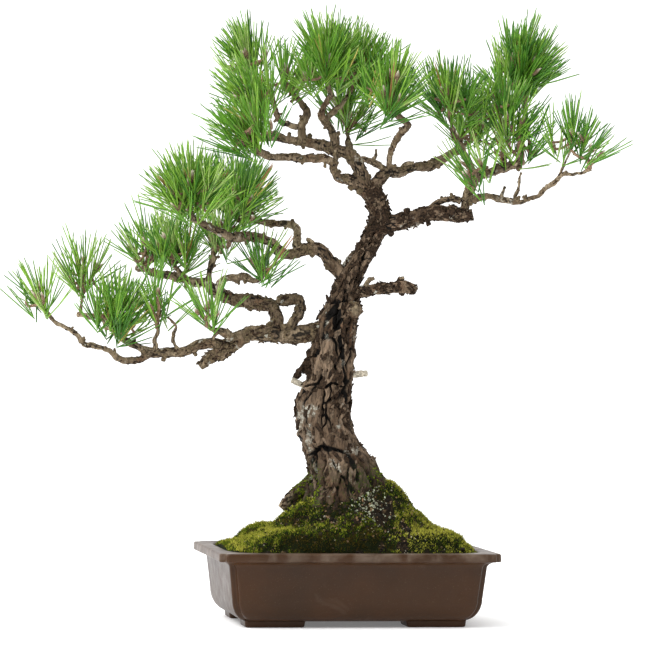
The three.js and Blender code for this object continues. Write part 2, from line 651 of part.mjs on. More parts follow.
const trunkRoom = trunk(CLEARANCE).rotate([0, 0, TREE_TURN]);
bonsai.add(meshOf('pot', pot(), COLOURS.pot));
for (const [name, side] of Object.entries(FEET)) {
  bonsai.add(meshOf(name, foot(side), COLOURS.pot));
}
bonsai.add(meshOf('soil', largest(heap().subtract(trunkRoom)), COLOURS.soil));
for (const [name, patch] of Object.entries(MOSS_PATCHES)) {
  bonsai.add(meshOf(name, mossPatch(patch, [trunkRoom]), COLOURS.moss));
}

// Each limb starts inside what bears it, and is cut clear of that and of the limbs before it
tree.add(meshOf('trunk', trunk(), COLOURS.bark));
let room = trunk(CLEARANCE);
for (const [name, way] of Object.entries(LIMBS).filter(([name]) => !(name in FUSED))) {
  const colour = name === 'dead_stub' ? COLOURS.deadwood : COLOURS.bark;
  tree.add(meshOf(name, largest(withFused(name, way, 0).subtract(room)), colour));
  room = room.add(withFused(name, way, CLEARANCE));
}

const beads = limbBeads();
const masses = Object.values(MASSES).map(massOf);
Object.keys(MASSES).forEach((name, i) => {
  tree.add(meshOf(name, foliage(masses[i], masses, beads, room), COLOURS.foliage));
});

// The origin is the middle of the foot of the whole
bonsai.updateMatrixWorld(true);
const whole = new THREE.Box3().setFromObject(bonsai, true);
const centre = whole.getCenter(new THREE.Vector3());
bonsai.position.set(-centre.x, -centre.y, -whole.min.z);

export default bonsai;
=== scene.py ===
"""A japanese black pine bonsai in its unglazed pot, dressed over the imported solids.

Lengths are in millimetres from the middle of the pot's foot, and become metres as a piece is made.
The tree is measured as the solids are: across, height and depth behind the trunk, seen from the front.
"""

import itertools
import math

import bpy
import numpy as np
from mathutils import Matrix, Vector


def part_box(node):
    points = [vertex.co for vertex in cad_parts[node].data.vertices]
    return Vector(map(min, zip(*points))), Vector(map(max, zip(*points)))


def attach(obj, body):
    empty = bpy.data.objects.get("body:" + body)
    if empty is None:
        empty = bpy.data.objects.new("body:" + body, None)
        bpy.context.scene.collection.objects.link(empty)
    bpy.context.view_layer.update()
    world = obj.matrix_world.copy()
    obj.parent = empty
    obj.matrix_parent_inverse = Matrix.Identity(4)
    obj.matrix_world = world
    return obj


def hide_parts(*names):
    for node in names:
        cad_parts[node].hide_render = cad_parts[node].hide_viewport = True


# Pot: outer size of the rim, and how far each part of the side stands in from it
RIM_LENGTH = 330
RIM_DEPTH = 236
RIM_TOP = 87.4
RIM_THICKNESS = 10
RIM_WIDTH = 16
CORNER_NOTCH = 7
CORNER_RADIUS = 2.6
WALL_INSET = 14
COVE_HEIGHT = 8
COVE_OVERHANG = 3
BELLY_INSET = 4
FOOT_CURVE_INSET = 20
FOOT_CURVE_TOP = 34
POT_UNDERSIDE = 7
POT_FLOOR = 15
CAVITY_TAPER = 11
CAVITY_SQUARENESS = 7
FOOT_LENGTH = 72
FOOT_DEPTH = 46
FOOT_INSET = 34
FOOT_CORNER = 4.5
LIP_ROUNDING = 1.8
RIM_DRAFT = 0.25
RIM_ROUNDING = 2.2
UNDERSIDE_INSET = 4
CLAY_WAVE = 0.35
CLAY_WAVE_UP = 0.25
FEET = [(-1, -1), (1, -1), (-1, 1), (1, 1)]
# Rings of a foot, from the ground up into the pot, and of the cavity's edge: [inset, height]
FOOT_RINGS = [(2.4, 0), (0.9, 0.5), (0.2, 1.6), (-0.4, POT_UNDERSIDE - 1), (-0.9, POT_UNDERSIDE + 3)]
CAVITY_RINGS = [(-1.6, RIM_TOP), (0, RIM_TOP - 0.6), (0.6, RIM_TOP - 2.2), (1, 76), (1, 62)]

# Soil and moss
SOIL_EDGE = 82
SOIL_MARGIN = -0.6
SOIL_SKIRT = 16
SOIL_HALF_LENGTH = 148
SOIL_HALF_DEPTH = 101
EDGE_RISE = 22
EDGE_ROLL = 0.25
LEFT_EDGE = -92
LEFT_SINK = 0.5
LEFT_SINK_REACH = 34
HEAP_RISE = 52
HEAP_LEAN = 8
HEAP_LEAN_REACH = 50
HEAP_MIDDLE = 4
HEAP_LENGTH = 152
HEAP_DEPTH = 118
HEAP_START = 0.74
HEAP_SPAN = 0.45
# Cushions of moss: [middle across, middle depth, half length, half depth, thickness]
CUSHIONS = [
    [-30, -80, 60, 19, 10], [-88, -56, 40, 36, 8], [92, -58, 44, 30, 6], [112, 2, 30, 48, 5],
    [-32, 62, 96, 34, 7], [-122, 6, 22, 40, 3], [74, 66, 46, 26, 6], [-40, -93, 7, 5, 5],
    [62, -22, 22, 14, 5], [-74, -34, 22, 16, 9], [-122, -62, 22, 32, 4], [128, -66, 16, 28, 3],
    [-139, -14, 13, 78, 6],
]
# Bare soil between them: [middle across, middle depth, half length, half depth]
BARE = [[-16, -60, 34, 13], [50, -66, 13, 30]]
# What lies on the ground: [name, colour, number, middle, spread, size]
LITTER = [
    ["bark_chips", (42, 33, 22), 380, (4, -56), (42, 15), 4.5],
    ["tan_chips", (150, 120, 90), 150, (14, -62), (52, 20), 3.4],
    ["ground_lichen", (182, 186, 160), 190, (17, -48), (10, 11), 2.8],
    ["pale_crumbs", (192, 182, 150), 260, (24, -52), (76, 34), 1.9],
]
# Hummocks of moss: their size, and how far they rise on a cushion and on bare ground
CLUMP_SIZE = 10
CLUMP_RISE = 2.0
CLUMP_RISE_BARE = 2.8
BLADE_COUNT = 52000
BLADE_HEIGHT = 3.8
BLADE_ROOTED = 0.8
# Below each of these moods a stem of moss takes this tone, and above them all it is yellow
MOSS_MOODS = [(-0.35, "brown"), (-0.05, "green"), (0.35, "olive")]
GRAIN_COUNT = 6500
GRAIN_CORNERS = 12
# Pale grit lies closer together round one place below the trunk
PALE_GRIT_HEART = (20, -45)
PALE_GRIT_REACH = 55
PALE_SHARE_NEAR = 0.03
PALE_SHARE_FAR = 0.015
TAN_SHARE = 0.25

# Tree
TREE_TURN = -10
GROUND_CUT = 136
VIEW_DISTANCE = 4000
VIEW_ACROSS = -26.5
VIEW_HEIGHT = 349.6
VIEW_ROLL = 0.76
PIXEL = 1.181
PHOTO_SIDE = 650
SENSOR = 36

# Foliage, by the same rule as the solids
NEEDLE = 59
STEM_START = 0.8
STEM_END = 2.2
STEM_DROP = 8
STEM_FORKS = 0.28
TWIG_SAG = 4
TWIG_START = 2.4
TWIG_END = 1.7
TWIG_TIP = 1.6
TWIG_RING_GAP = 2.6
TWIG_SIDES = 6
GOLDEN_ANGLE = 2.39996
SPLAY = 0.9
UPWARD = 0.95
TURN_JITTER = 0.6
RISE_JITTER = 0.8
# The finer shoots round each shoot of the rule
SIDE_SHOOTS = 3
SIDE_REACH = 21
SIDE_DROP = 10
SIDE_SPLAY = 0.5
PAIRS_TO_A_SHOOT = 19
HANGING = 0.13
SHOOT_LENGTH = 20
NEEDLE_GAP = 5
UPTURN = 0.45
NEEDLE_RADIUS = 0.86
NEEDLE_TAPER = [0.85, 1.05, 0.8]
NEEDLE_SHARES = [0, 0.45, 0.92]
NEEDLE_LENGTHS = (0.78, 1.16)
TWIN_LENGTHS = (0.93, 1.02)
TWIN_PARTING = 0.06
BEND_IN = 0.14
BEND_UP = 0.06
BEND_JITTER = 0.09
OPEN_FROM = 50
OPEN_TO = 15
OPEN_JITTER = 9
BUD_LENGTHS = (12, 21)
BUD_RADII = (3, 4.6)
BUD_SIDES = 6
# Rings of a winter bud: [share of its length, share of its radius]
BUD_RINGS = [(0, 0.75), (0.12, 1.0), (0.4, 1.05), (0.62, 0.8), (0.82, 0.45), (1, 0.08)]
TONE_STEPS = ["deep", "mid", "bright", "light"]
# Needles are painted brighter up the crown and on its left, as painted light, and painted darker on its
# right, as painted shade, from these places on
CROWN_FOOT = 380
CROWN_RISE = 340
SUNNY_SIDE = -150
SHADY_SIDE = 90
RUST_SHARE = 0.006
STRAW_SHARE = 0.009

# Way-points of each limb: [across, height, depth behind the trunk, radius]
TRUNK = [
    [-3, 132, 0, 50], [-4, 152, 0, 47], [-5, 171, 0, 43], [-16, 198, 3, 34], [-25, 225, 6, 31],
    [-26, 255, 6, 30], [-19, 283, 2, 26], [-15.5, 320, -5, 25], [-13, 345, -8, 23.5],
    [-6, 370, -9, 19.5], [-2, 398, -7, 15.6], [8, 420, -3, 14], [19.5, 440, 1, 11.9],
    [31, 462, 4, 12.2], [37, 480, 3, 12.6], [31, 495, 1, 13.2], [24, 512, 0, 11.8],
]
ROOTS = [[-8, 62, 15], [62, 40, 12], [128, 44, 13], [186, 62, 9], [236, 44, 12], [300, 36, 13]]
ROOT_TOP = 186
ROOT_START = 22
ROOT_BENDS = [[0, 0, 1], [0.6, 22, 1], [0.9, 36, 0.85], [1.15, 54, 0.6]]
LIMBS = {
    "low_left_bough": [
        [-26, 342, -6, 13], [-58, 338, -8, 11], [-100, 338, -14, 9.8], [-122, 334, -17, 9.4],
        [-145, 318, -20, 9.4], [-160, 310, -21, 7.5], [-174, 299, -21, 5]],
    "low_left_strand": [
        [-138, 322, -18, 6], [-154, 325.5, -22, 6.8], [-172, 325, -26, 6.6], [-188, 317, -29, 6.4],
        [-204, 313, -31, 6.3], [-220, 314, -34, 6], [-235, 314, -36, 5.6]],
    "far_left_front_limb": [
        [-232, 313, -36, 5], [-246, 307, -42, 5], [-260, 303, -48, 4.6], [-268, 308, -53, 4.2],
        [-282, 317, -60, 3.6], [-300, 321, -68, 3.3], [-312, 323, -72, 3], [-321, 335, -76, 2.8],
        [-345, 350, -84, 2.6], [-362, 371, -90, 2.4]],
    "far_left_back_limb": [
        [-230, 315, -34, 4.8], [-246, 320, -26, 4.4], [-262, 329, -14, 4.1], [-274, 340, -2, 4],
        [-286, 351, 10, 4], [-300, 357, 24, 3.8], [-318, 358, 38, 3.4]],
    "loop_limb": [
        [-70, 342, -10, 6.4], [-63, 353, -6, 6.4], [-57, 360, -2, 6.6], [-55, 370, 2, 6.6],
        [-61, 379, 6, 6.6], [-73, 379, 9, 6.4], [-82, 377, 12, 6]],
    "mid_left_bough": [
        [-84, 342, -12, 8], [-84, 360, 0, 7.6], [-89, 371, 10, 8], [-102, 374, 18, 8],
        [-122, 376, 28, 7.8], [-142, 381, 40, 7.9], [-158, 389, 50, 7.2], [-168, 398, 56, 6],
        [-186, 400, 66, 5.2], [-212, 405, 80, 4.6], [-236, 411, 94, 4], [-250, 414, 102, 3.5]],
    "mid_left_riser": [
        [-165, 396, 54, 4.2], [-163, 415, 58, 4], [-160, 432, 62, 3.8], [-153, 452, 66, 3.4]],
    "mid_left_curl": [
        [-147, 384, 42, 4.8], [-151, 396, 30, 4.6], [-142, 405, 20, 4.6], [-126, 404, 8, 4.3],
        [-106, 402, -8, 4], [-99, 409, -18, 3.8], [-97, 415, -24, 3.4]],
    "second_left_bough": [
        [-6, 408, -5, 9], [-22, 424, -8, 8.4], [-33, 437, -10, 8], [-48, 438, -12, 7.6],
        [-72, 433, -18, 7.2], [-92, 447, -28, 6], [-112, 452, -40, 6], [-134, 452, -54, 5.8],
        [-152, 457, -66, 5], [-168, 466, -76, 4.8], [-185, 474, -86, 4.2]],
    "second_left_back_limb": [
        [-62, 434, -14, 5], [-60, 451, 0, 4.6], [-63, 465, 14, 4.5], [-80, 468, 34, 4.4],
        [-102, 470, 56, 4.3], [-122, 472, 76, 4], [-134, 477, 88, 4], [-141, 486, 96, 3.6]],
    "top_left_front_bough": [
        [22, 508, -2, 8.5], [0, 521, -8, 7.4], [-11, 524, -14, 6], [-18, 533, -20, 5],
        [-22, 543, -26, 4.8], [-40, 546, -38, 5], [-64, 546.5, -54, 4.6], [-88, 547, -70, 4.1],
        [-102, 551, -80, 4.6], [-112, 558, -88, 4.6], [-122, 568, -94, 3.8]],
    "top_left_back_bough": [
        [22, 508, 2, 9], [13, 534, 6, 8], [2, 549, 14, 7.6], [-14, 556, 26, 7.6], [-32, 561, 40, 7.6],
        [-52, 566, 54, 6.6], [-72, 568, 70, 5.6], [-90, 572, 84, 5.6], [-103, 569, 94, 4.8],
        [-115, 567, 102, 4]],
    "top_left_riser": [
        [-55, 566, 56, 5.4], [-57, 583, 50, 5], [-51, 600, 42, 4.8], [-60, 613, 34, 4.2],
        [-70, 623, 28, 3.6], [-83, 636, 22, 3]],
    "top_left_high_limb": [
        [-57, 582, 50, 3.8], [-72, 585, 56, 3.7], [-84, 593, 60, 3.5], [-90, 612, 58, 3.2],
        [-99, 637, 54, 2.8]],
    "top_mid_riser": [
        [-17, 556, 26, 5.6], [-20, 572, 20, 5.2], [-27, 587, 10, 5], [-34, 600, 2, 4.5],
        [-29, 612, -6, 3.9], [-22, 622, -12, 3.3]],
    "top_right_back_bough": [
        [25, 510, 4, 9], [42, 530, 14, 7.4], [62, 533, 30, 6.8], [80, 537, 48, 6.1], [93, 540, 62, 6.1],
        [106, 547, 78, 6], [120, 555, 94, 5.2], [130, 563, 106, 4.4]],
    "top_right_front_riser": [
        [46, 531, 17, 4.2], [47, 550, 4, 3.9], [53, 566, -12, 4], [63, 580, -28, 4],
        [68, 587, -38, 4], [60, 594, -48, 3.7], [50, 602, -58, 3.3]],
    "right_bough": [
        [36, 466, 4, 11], [60, 474.5, -2, 9.4], [80, 479, -8, 9.4], [100, 482, -14, 9],
        [120, 481.5, -20, 9.3], [135, 481, -24, 8], [146, 483, -26, 5.5]],
    "right_strand": [
        [92, 483, -12, 4.6], [101, 495, -14, 4.2], [112, 499, -17, 4], [123, 500.5, -20, 4],
        [132, 498, -22, 4]],
    "right_riser": [
        [136, 484, -24, 6], [139, 502, -20, 5.6], [144, 514, -15, 5.8], [147, 529, -10, 6],
        [140, 545, -6, 5.2], [132, 559, -4, 4.4], [125, 572, -4, 3.8], [120, 585, -6, 3.3]],
    "right_back_limb": [
        [146, 523, -12, 5.8], [161, 531, 4, 5.6], [180, 537, 24, 5.4], [191, 541, 40, 5],
        [204, 545, 58, 4.4]],
    "right_front_limb": [
        [139, 498, -22, 5], [153, 503, -32, 4.7], [168, 503.5, -42, 4.5], [184, 501, -52, 4],
        [201, 498.5, -62, 3.6], [222, 505, -72, 3.3], [231, 515, -77, 3.2], [243, 522, -82, 3],
        [257, 534, -90, 2.7]],
    "dead_stub": [
        [-6, 387, -9, 8], [12, 390, -11, 7.4], [30, 393, -13, 7.1], [50, 395, -15, 7.2],
        [62, 396.5, -16, 7.9], [73, 395, -17, 6.8], [81, 391, -18, 4.4]],
}
PEGS = {
    "left_peg": [[-34, 272, 2, 3.4], [-48, 277, -2, 3.4], [-65, 284, -6, 3.2]],
    "right_peg": [[-10, 290, 2, 3.8], [5, 291.5, -5, 3.8], [23.5, 293, -14, 3.6]],
}

# Short spurs and dead twigs on the boughs, way-points as for the limbs
SPURS = [
    [[-17, 531, -20, 4], [-18, 543, -20, 3], [-17, 556, -19, 2.2]],
    [[7, 543, 9, 4.4], [18, 546, 8, 4], [28, 543, 8, 4], [37, 537, 10, 4.2], [46, 531, 15, 4.2]],
    [[27, 543, 7, 3.6], [31, 551, 6, 2.8], [31, 558, 6, 1.8]],
    [[-110, 562, 98, 3], [-113, 585, 92, 2.6], [-119, 612, 84, 1.8]],
    [[-108, 566, -92, 3], [-112, 590, -88, 2.2], [-118, 606, -80, 1.6]],
    [[179, 501, -50, 3], [181, 508, -50, 2.6], [184, 516, -49, 1.8]],
    [[194, 498, -58, 3], [198, 512, -60, 2.4], [203, 533, -62, 1.6]],
    [[-150, 316, -22, 3.4], [-158, 332, -26, 2.4], [-150, 341, -30, 1.8]],
    [[-196, 313, -30, 3.2], [-206, 330, -38, 2.6], [-203, 345, -44, 2.2], [-212, 356, -50, 1.6]],
    [[-40, 438, -12, 3.4], [-43, 448, -14, 2.8], [-50, 451, -15, 1.8]],
    [[60, 534, 28, 3], [66, 541, 26, 2.4], [76, 543, 24, 1.6]],
    [[20, 394, -13, 4], [24, 402, -14, 3], [31, 406, -15, 2]],
    [[56, 395, -16, 3.6], [60, 404, -18, 2.6], [66, 407, -20, 1.6]],
]
KNOB = [[2, 369, -12, 9], [7, 368.5, -24, 9.5], [9.6, 368, -32, 10], [9.8, 368, -34, 8.8],
        [9.9, 368, -34.6, 5.5], [10, 368, -36, 4.5]]
# Swellings on the trunk's face: [across, height, reach, how far they stand out]
BURLS = [
    [-12, 288, 12, 5], [-42, 280, 8, 5], [-50, 256, 7, 4], [-20, 352, 10, 3], [16, 432, 9, 3],
    [-6, 214, 14, 3],
]
FISSURE_DEPTH = 6
# Long fissures that part the bark into strips and ledges: [across, height, half width] along each
FISSURES = [
    [[-14, 366, 5], [-11, 350, 4], [-9, 337, 2.5], [-3, 307, 2], [-1, 282, 2.5], [0, 258, 1.5]],
    [[-16, 380, 1.5], [-23, 362, 2.5], [-29, 346, 2], [-33, 331, 2], [-38, 313, 1.5]],
    [[-46, 275, 0.8], [-36, 280, 1.1], [-26, 277, 1.4], [-15, 283, 1.4], [-6, 276, 1]],
    [[-46, 196, 1.2], [-30, 206, 1.8], [-12, 204, 2], [3, 199, 2], [10, 181, 2], [13, 168, 2]],
    [[-56, 227, 2], [-50, 203, 2], [-46, 184, 1.5]],
    [[9, 398, 1.2], [14, 420, 1.5], [22, 441, 1.5], [31, 463, 1.2]],
    [[-6, 420, 1.5], [0, 432, 2], [9, 447, 1.5], [19, 463, 1.2]],
]
SHAGGY_BOUGHS = [
    "right_bough", "right_strand", "dead_stub", "low_left_bough", "loop_limb", "mid_left_bough"]
DARK_BOUGHS = ["right_bough", "dead_stub"]
# Boughs whose bark looks older or younger than their girth tells, from 0 for young to 1 for old
AGED_BOUGHS = {
    "right_bough": 0.85, "dead_stub": 0.85, "top_left_front_bough": 0.5, "top_left_back_bough": 0.55,
    "top_left_riser": 0.5, "top_left_high_limb": 0.4, "top_mid_riser": 0.55, "top_right_back_bough": 0.5,
    "top_right_front_riser": 0.45, "right_riser": 0.35, "right_strand": 0.7, "right_front_limb": 0.3,
    "right_back_limb": 0.4, "second_left_bough": 0.35, "mid_left_riser": 0.3, "mid_left_curl": 0.5,
}
YOUNG_BOUGHS = {"low_left_bough": 0.45, "low_left_strand": 0.2}
# Crusts of lichen on the trunk: [across, height, reach, half height]
LICHEN_PATCHES = [
    [-40, 250, 8, 8], [-44, 217, 4, 14], [-53, 238, 5, 16], [-22, 336, 3, 6], [-8, 305, 4, 3],
    [8, 201, 8, 3], [-8, 232, 2, 7], [-24, 350, 2, 7],
]
# A strip of bark that peels off on the left: [across, height, depth] of each flake
FLAP = [
    [-37, 324, -2], [-39, 318, 0], [-43, 313, -3], [-46, 308, 1], [-49, 303, -2], [-52, 299, 2],
    [-55, 295, -1], [-58, 292, 1], [-45, 302, 4], [-48, 296, 0], [-60, 289, 0], [-42, 306, -4],
]
# Loose scales on the trunk: [tone, number, size, lift, where, width, thickness]
TRUNK_SCALES = [
    ["dark", 500, 15, 0.2, "off_fissures", 0.36, 0.08], ["tan", 260, 12, 0.24, "off_fissures", 0.36, 0.08],
    ["dark", 300, 8, 0.5, "off_fissures", 0.36, 0.08], ["dark", 1300, 9, 0.8, "shaggy", 0.5, 0.1],
    ["tan", 500, 9, 0.8, "shaggy", 0.5, 0.1],
]
ROOT_SCALES = 60
TRUNK_MOSS = 3400
ROOT_MOSS = 1100
LICHEN_CRUSTS = 6000
# How densely each kind of scale covers the boughs
BOUGH_SCALES = [("bough", 1.5), ("dark", 0.8), ("tan", 0.35), ("lichen", 0.06)]
SHAGGINESS = 2.0
STUB_SPACING = 17
SCALE_CORNERS = 5
# Where the trunk's bark is shaggy: above the fork, and between two heights on its right edge
SHAGGY_FORK = 432
SHAGGY_EDGE = (190, 350)
DAMP_TOP = 198
DAMP_FADE = 30
# Relief of all bark: how its outlines wander [size, reach], and the size of layers, ridges and knobs
LARGE_SWAY = (12, 3.6)
SMALL_SWAY = (4, 1.5)
LAYER_SIZE = 8
LAYER_STEPS = 4
RIDGE_SIZE = 2.4
KNOB_SIZE = 15
# Large plates of old bark: their size, how far they rise, how deep the cracks between them are,
# how far their edges curl up, and how far it is all set back
PLATE_SIZE = 15
PLATE_RISE = 4.2
PLATE_CRACK = 5.6
PLATE_EDGE = 1.6
PLATE_LEVEL = 2.1
# Kinks in boughs and twigs: [size, reach]
LARGE_KINKS = (15, 1.7)
SMALL_KINKS = (7, 0.5)
KINK_FREE_END = 14
# Bark looks young up to the first of these radii, and old from the second on
AGES_FROM = 3
AGES_TO = 10
# How close points lie along and round each kind of limb
TRUNK_MESH = (1.3, 1.7)
ROOT_MESH = (1.6, 1.8)
BOUGH_MESH = (1.5, 1.4)
STEM_MESH = (1.5, 1.3)

# Masses of foliage: the limb each grows on and how far along it, the middle of its shoots
# [across, height, depth], their spread [across, height, depth], their number and their lean,
# how full of needles they are and how wide their shoots open
MASSES = {
    "far_left_tip": ["far_left_front_limb", 1, [-363, 381, -95], [8, 6, 11], 3, -0.5, 0.34, 0.8],
    "far_left_crest": ["far_left_back_limb", 1, [-312, 411, 36], [17, 15, 22], 4, -0.1, 0.38, 0.6],
    "far_left_middle": ["far_left_back_limb", 0.6, [-266, 358, -22], [15, 8, 22], 4, 0.55, 0.72, 0.9],
    "left_fork": ["low_left_strand", 0.93, [-224, 370, -42], [8, 11, 16], 3, 0.15, 0.3, 0.9],
    "left_twig": ["low_left_bough", 0.55, [-167, 361, -60], [8, 6, 12], 2, -0.4, 0.4, 0.7],
    "left_back": ["mid_left_bough", 1, [-238, 438, 108], [20, 12, 24], 5, -0.35, 0.34, 0.85],
    "left_inner": ["mid_left_bough", 0.77, [-207, 437, 58], [9, 10, 16], 2, -0.1, 0.8, 0.6],
    "left_riser_tip": ["mid_left_riser", 1, [-150, 456, 74], [18, 16, 20], 3, 0.2, 0.5, 1.0],
    "left_curl_tip": ["mid_left_curl", 1, [-103, 423, -38], [9, 6, 13], 2, 0.2, 0.42, 0.95],
    "second_left_front": ["second_left_bough", 1, [-191, 508, -84], [17, 9, 24], 5, -0.3, 0.74, 0.92],
    "second_left_back": ["second_left_back_limb", 1, [-136, 507, 84], [15, 8, 24], 4, 0.15, 0.76, 0.92],
    "second_left_middle": ["second_left_back_limb", 0.82, [-120, 501, 14], [13, 8, 16], 3, 0.7, 0.6, 1.0],
    "top_left_front": ["top_left_front_bough", 1, [-123, 579, -100], [12, 8, 18], 3, -1.2, 0.72, 0.7],
    "top_left_side": ["top_left_front_bough", 0.9, [-121, 619, -62], [10, 11, 18], 4, -0.95, 0.5, 0.7],
    "top_left_back": ["top_left_back_bough", 1, [-116, 612, 104], [15, 11, 20], 3, -0.5, 0.52, 0.8],
    "top_left_crest": ["top_left_high_limb", 1, [-124, 668, 46], [6, 11, 14], 4, -0.75, 0.55, 0.45],
    "top_left_inner": ["top_left_riser", 1, [-77, 641, 8], [16, 7, 18], 3, 0.05, 0.42, 0.75],
    "top_mid_crest": ["top_mid_riser", 1, [-28, 666, -22], [11, 13, 20], 4, 0, 1.0, 0.8],
    "top_mid_back": ["top_mid_riser", 0.5, [8, 655, 36], [13, 10, 22], 4, 0.25, 0.95, 0.8],
    "top_mid_inner": ["top_left_back_bough", 0.25, [-4, 604, 66], [15, 11, 20], 3, 0, 0.6, 0.9],
    "top_right_front": ["top_right_front_riser", 1, [50, 629, -72], [12, 17, 24], 5, 0.35, 0.6, 0.74],
    "right_back": ["top_right_back_bough", 1, [143, 590, 112], [18, 12, 26], 4, 0.05, 0.5, 0.85],
    "right_inner": ["right_riser", 1, [117, 622, -10], [10, 12, 18], 4, -0.2, 0.65, 0.7],
    "right_middle": ["right_back_limb", 0.6, [177, 613, 20], [12, 12, 18], 4, -0.1, 0.42, 0.75],
    "right_crest": ["right_back_limb", 1, [206, 654, 58], [12, 18, 28], 6, 0.42, 0.9, 0.5],
    "right_side": ["right_back_limb", 0.85, [200, 576, 4], [13, 13, 16], 3, 0.5, 0.45, 0.95],
    "right_low": ["right_riser", 0.4, [138, 530, -58], [8, 9, 14], 3, -1.5, 0.26, 0.8],
    "far_right_up": ["right_front_limb", 0.93, [263, 579, -78], [5, 4, 10], 2, 0.15, 0.5, 0.75],
    "far_right_tip": ["right_front_limb", 1, [285, 553, -104], [8, 7, 9], 2, 1.5, 0.22, 0.9],
}

# Light: how strong each is, and places and sizes in metres
TENT_WAY = (-0.35, 0.75, 0.55)
TENT_FROM = -0.75
TENT_TO = 0.6
TENT_DIM = 0.18
TENT_BRIGHT = 1.38
TOP_LIGHT = 1.5
TOP_LIGHT_WAY = (0.42, 0.24, -0.88)
TOP_LIGHT_SPREAD = 80
KEY_LIGHT = 27
KEY_LIGHT_PLACE = (-1.55, -0.9, 2.0)
KEY_LIGHT_AIM = (0, 0, 0.35)
KEY_LIGHT_SIZE = 1.5
FLOOR_REACH = 12.0
FLOOR_GLOW = 0.16

# Colours in sRGB
NEEDLE_TONES = {
    "deep": (64, 124, 19), "mid": (100, 156, 38), "bright": (132, 180, 56), "light": (168, 200, 108),
    "straw": (204, 192, 100), "rust": (164, 118, 70),
}
# Painted shade in the cracks and fissures of the bark
BARK_SHADE_IN_CRACKS = (15, 12, 9)
BARK_MID = (82, 64, 48)
BARK_PALE = (140, 119, 98)
BARK_RED = (104, 72, 50)
BOUGH_MID = (120, 104, 80)
BOUGH_PALE = (174, 157, 129)
LICHEN = (184, 180, 166)
TWIG = (154, 126, 100)
BUD = (150, 124, 98)
BUD_TIP = (214, 204, 186)
PEG = (208, 198, 178)
CLAY = (60, 34, 9)
CLAY_PALE = (106, 91, 78)
SOIL_DARK = (16, 13, 8)
SOIL_BROWN = (46, 36, 22)
FLOOR_WHITES = [(250, 250, 250), (251, 251, 251)]
MOSS_TONES = {
    "olive": (116, 132, 30), "green": (70, 94, 12), "brown": (84, 72, 22), "yellow": (180, 178, 68),
}
GRAIN_TONES = {"dark": (32, 26, 18), "tan": (88, 72, 48), "pale": (158, 152, 134)}

# Where each row of random numbers starts
TRUNK_SEED = 3
ROOT_SEED = 40
BOUGH_SEED = 60
SPUR_SEED = 300
STEM_SEED = 400
MASS_SEED = 5
SHOOT_SEED = 900
PEG_SEED = 300
MOSS_SEED = 11
GRAIN_SEED = 21
LITTER_SEED = 23
SCALE_SEED = 31


# Numbers and noise

def unit(vectors):
    return vectors / np.maximum(np.linalg.norm(vectors, axis=-1, keepdims=True), 1e-9)


def smooth(value):
    t = np.clip(value, 0, 1)
    return t * t * (3 - 2 * t)


def hashed(cells, seed):
    """A number from 0 to 1 for each cell of whole numbers."""
    x, y, z = (cells[..., k].astype(np.int64) for k in range(3))
    mixed = (x * 73856093) ^ (y * 19349663) ^ (z * 83492791) ^ np.int64(seed * 668265263 + 374761393)
    mixed = ((mixed ^ (mixed >> 13)) * np.int64(1274126177)) & np.int64(0xFFFFFFFF)
    mixed = ((mixed ^ (mixed >> 15)) * np.int64(668265263)) & np.int64(0xFFFFFFFF)
    return (mixed ^ (mixed >> 16)) / float(0xFFFFFFFF)


def noise(points, size, seed=0):
    """Smooth noise from -1 to 1 with features of this size."""
    place = points / size
    cell = np.floor(place)
    share = smooth(place - cell)
    total = 0
    for corner in itertools.product((0, 1), repeat=3):
        weight = np.prod(np.where(corner, share, 1 - share), axis=-1)
        total = total + weight * hashed(cell + corner, seed)
    return total * 2 - 1


def rough(points, size, octaves=3, seed=0):
    """Noise with finer noise on it."""
    return sum(noise(points, size / 2 ** k, seed + 17 * k) / 2 ** k for k in range(octaves))


def swirl(points, size, reach, seed):
    """A smooth shift of each point, with a noise of its own for each direction."""
    return reach * np.stack([noise(points, size, seed + k) for k in range(3)], -1)


def plates(points, seed):
    """Cells parted by cracks: how far a point is from its cell's edge, and a number of the cell's own."""
    cell = np.floor(points)
    first = np.full(points.shape[:-1], 9.0)
    second = first.copy()
    own = np.zeros(points.shape[:-1])
    for corner in itertools.product((-1, 0, 1), repeat=3):
        other = cell + corner
        heart = other + np.stack([hashed(other, seed + k) for k in range(3)], -1)
        distance = np.linalg.norm(points - heart, axis=-1)
        nearer = distance < first
        second = np.where(nearer, first, np.minimum(second, distance))
        own = np.where(nearer, hashed(other, seed + 3), own)
        first = np.minimum(first, distance)
    return second - first, own


# Meshes

def to_object(points):
    """From the tree's own directions to the pot's."""
    turn = math.radians(TREE_TURN)
    across, depth, height = np.moveaxis(np.asarray(points, float), -1, 0)
    x = across * math.cos(turn) - depth * math.sin(turn)
    y = across * math.sin(turn) + depth * math.cos(turn)
    return np.stack([x, y, height], -1)


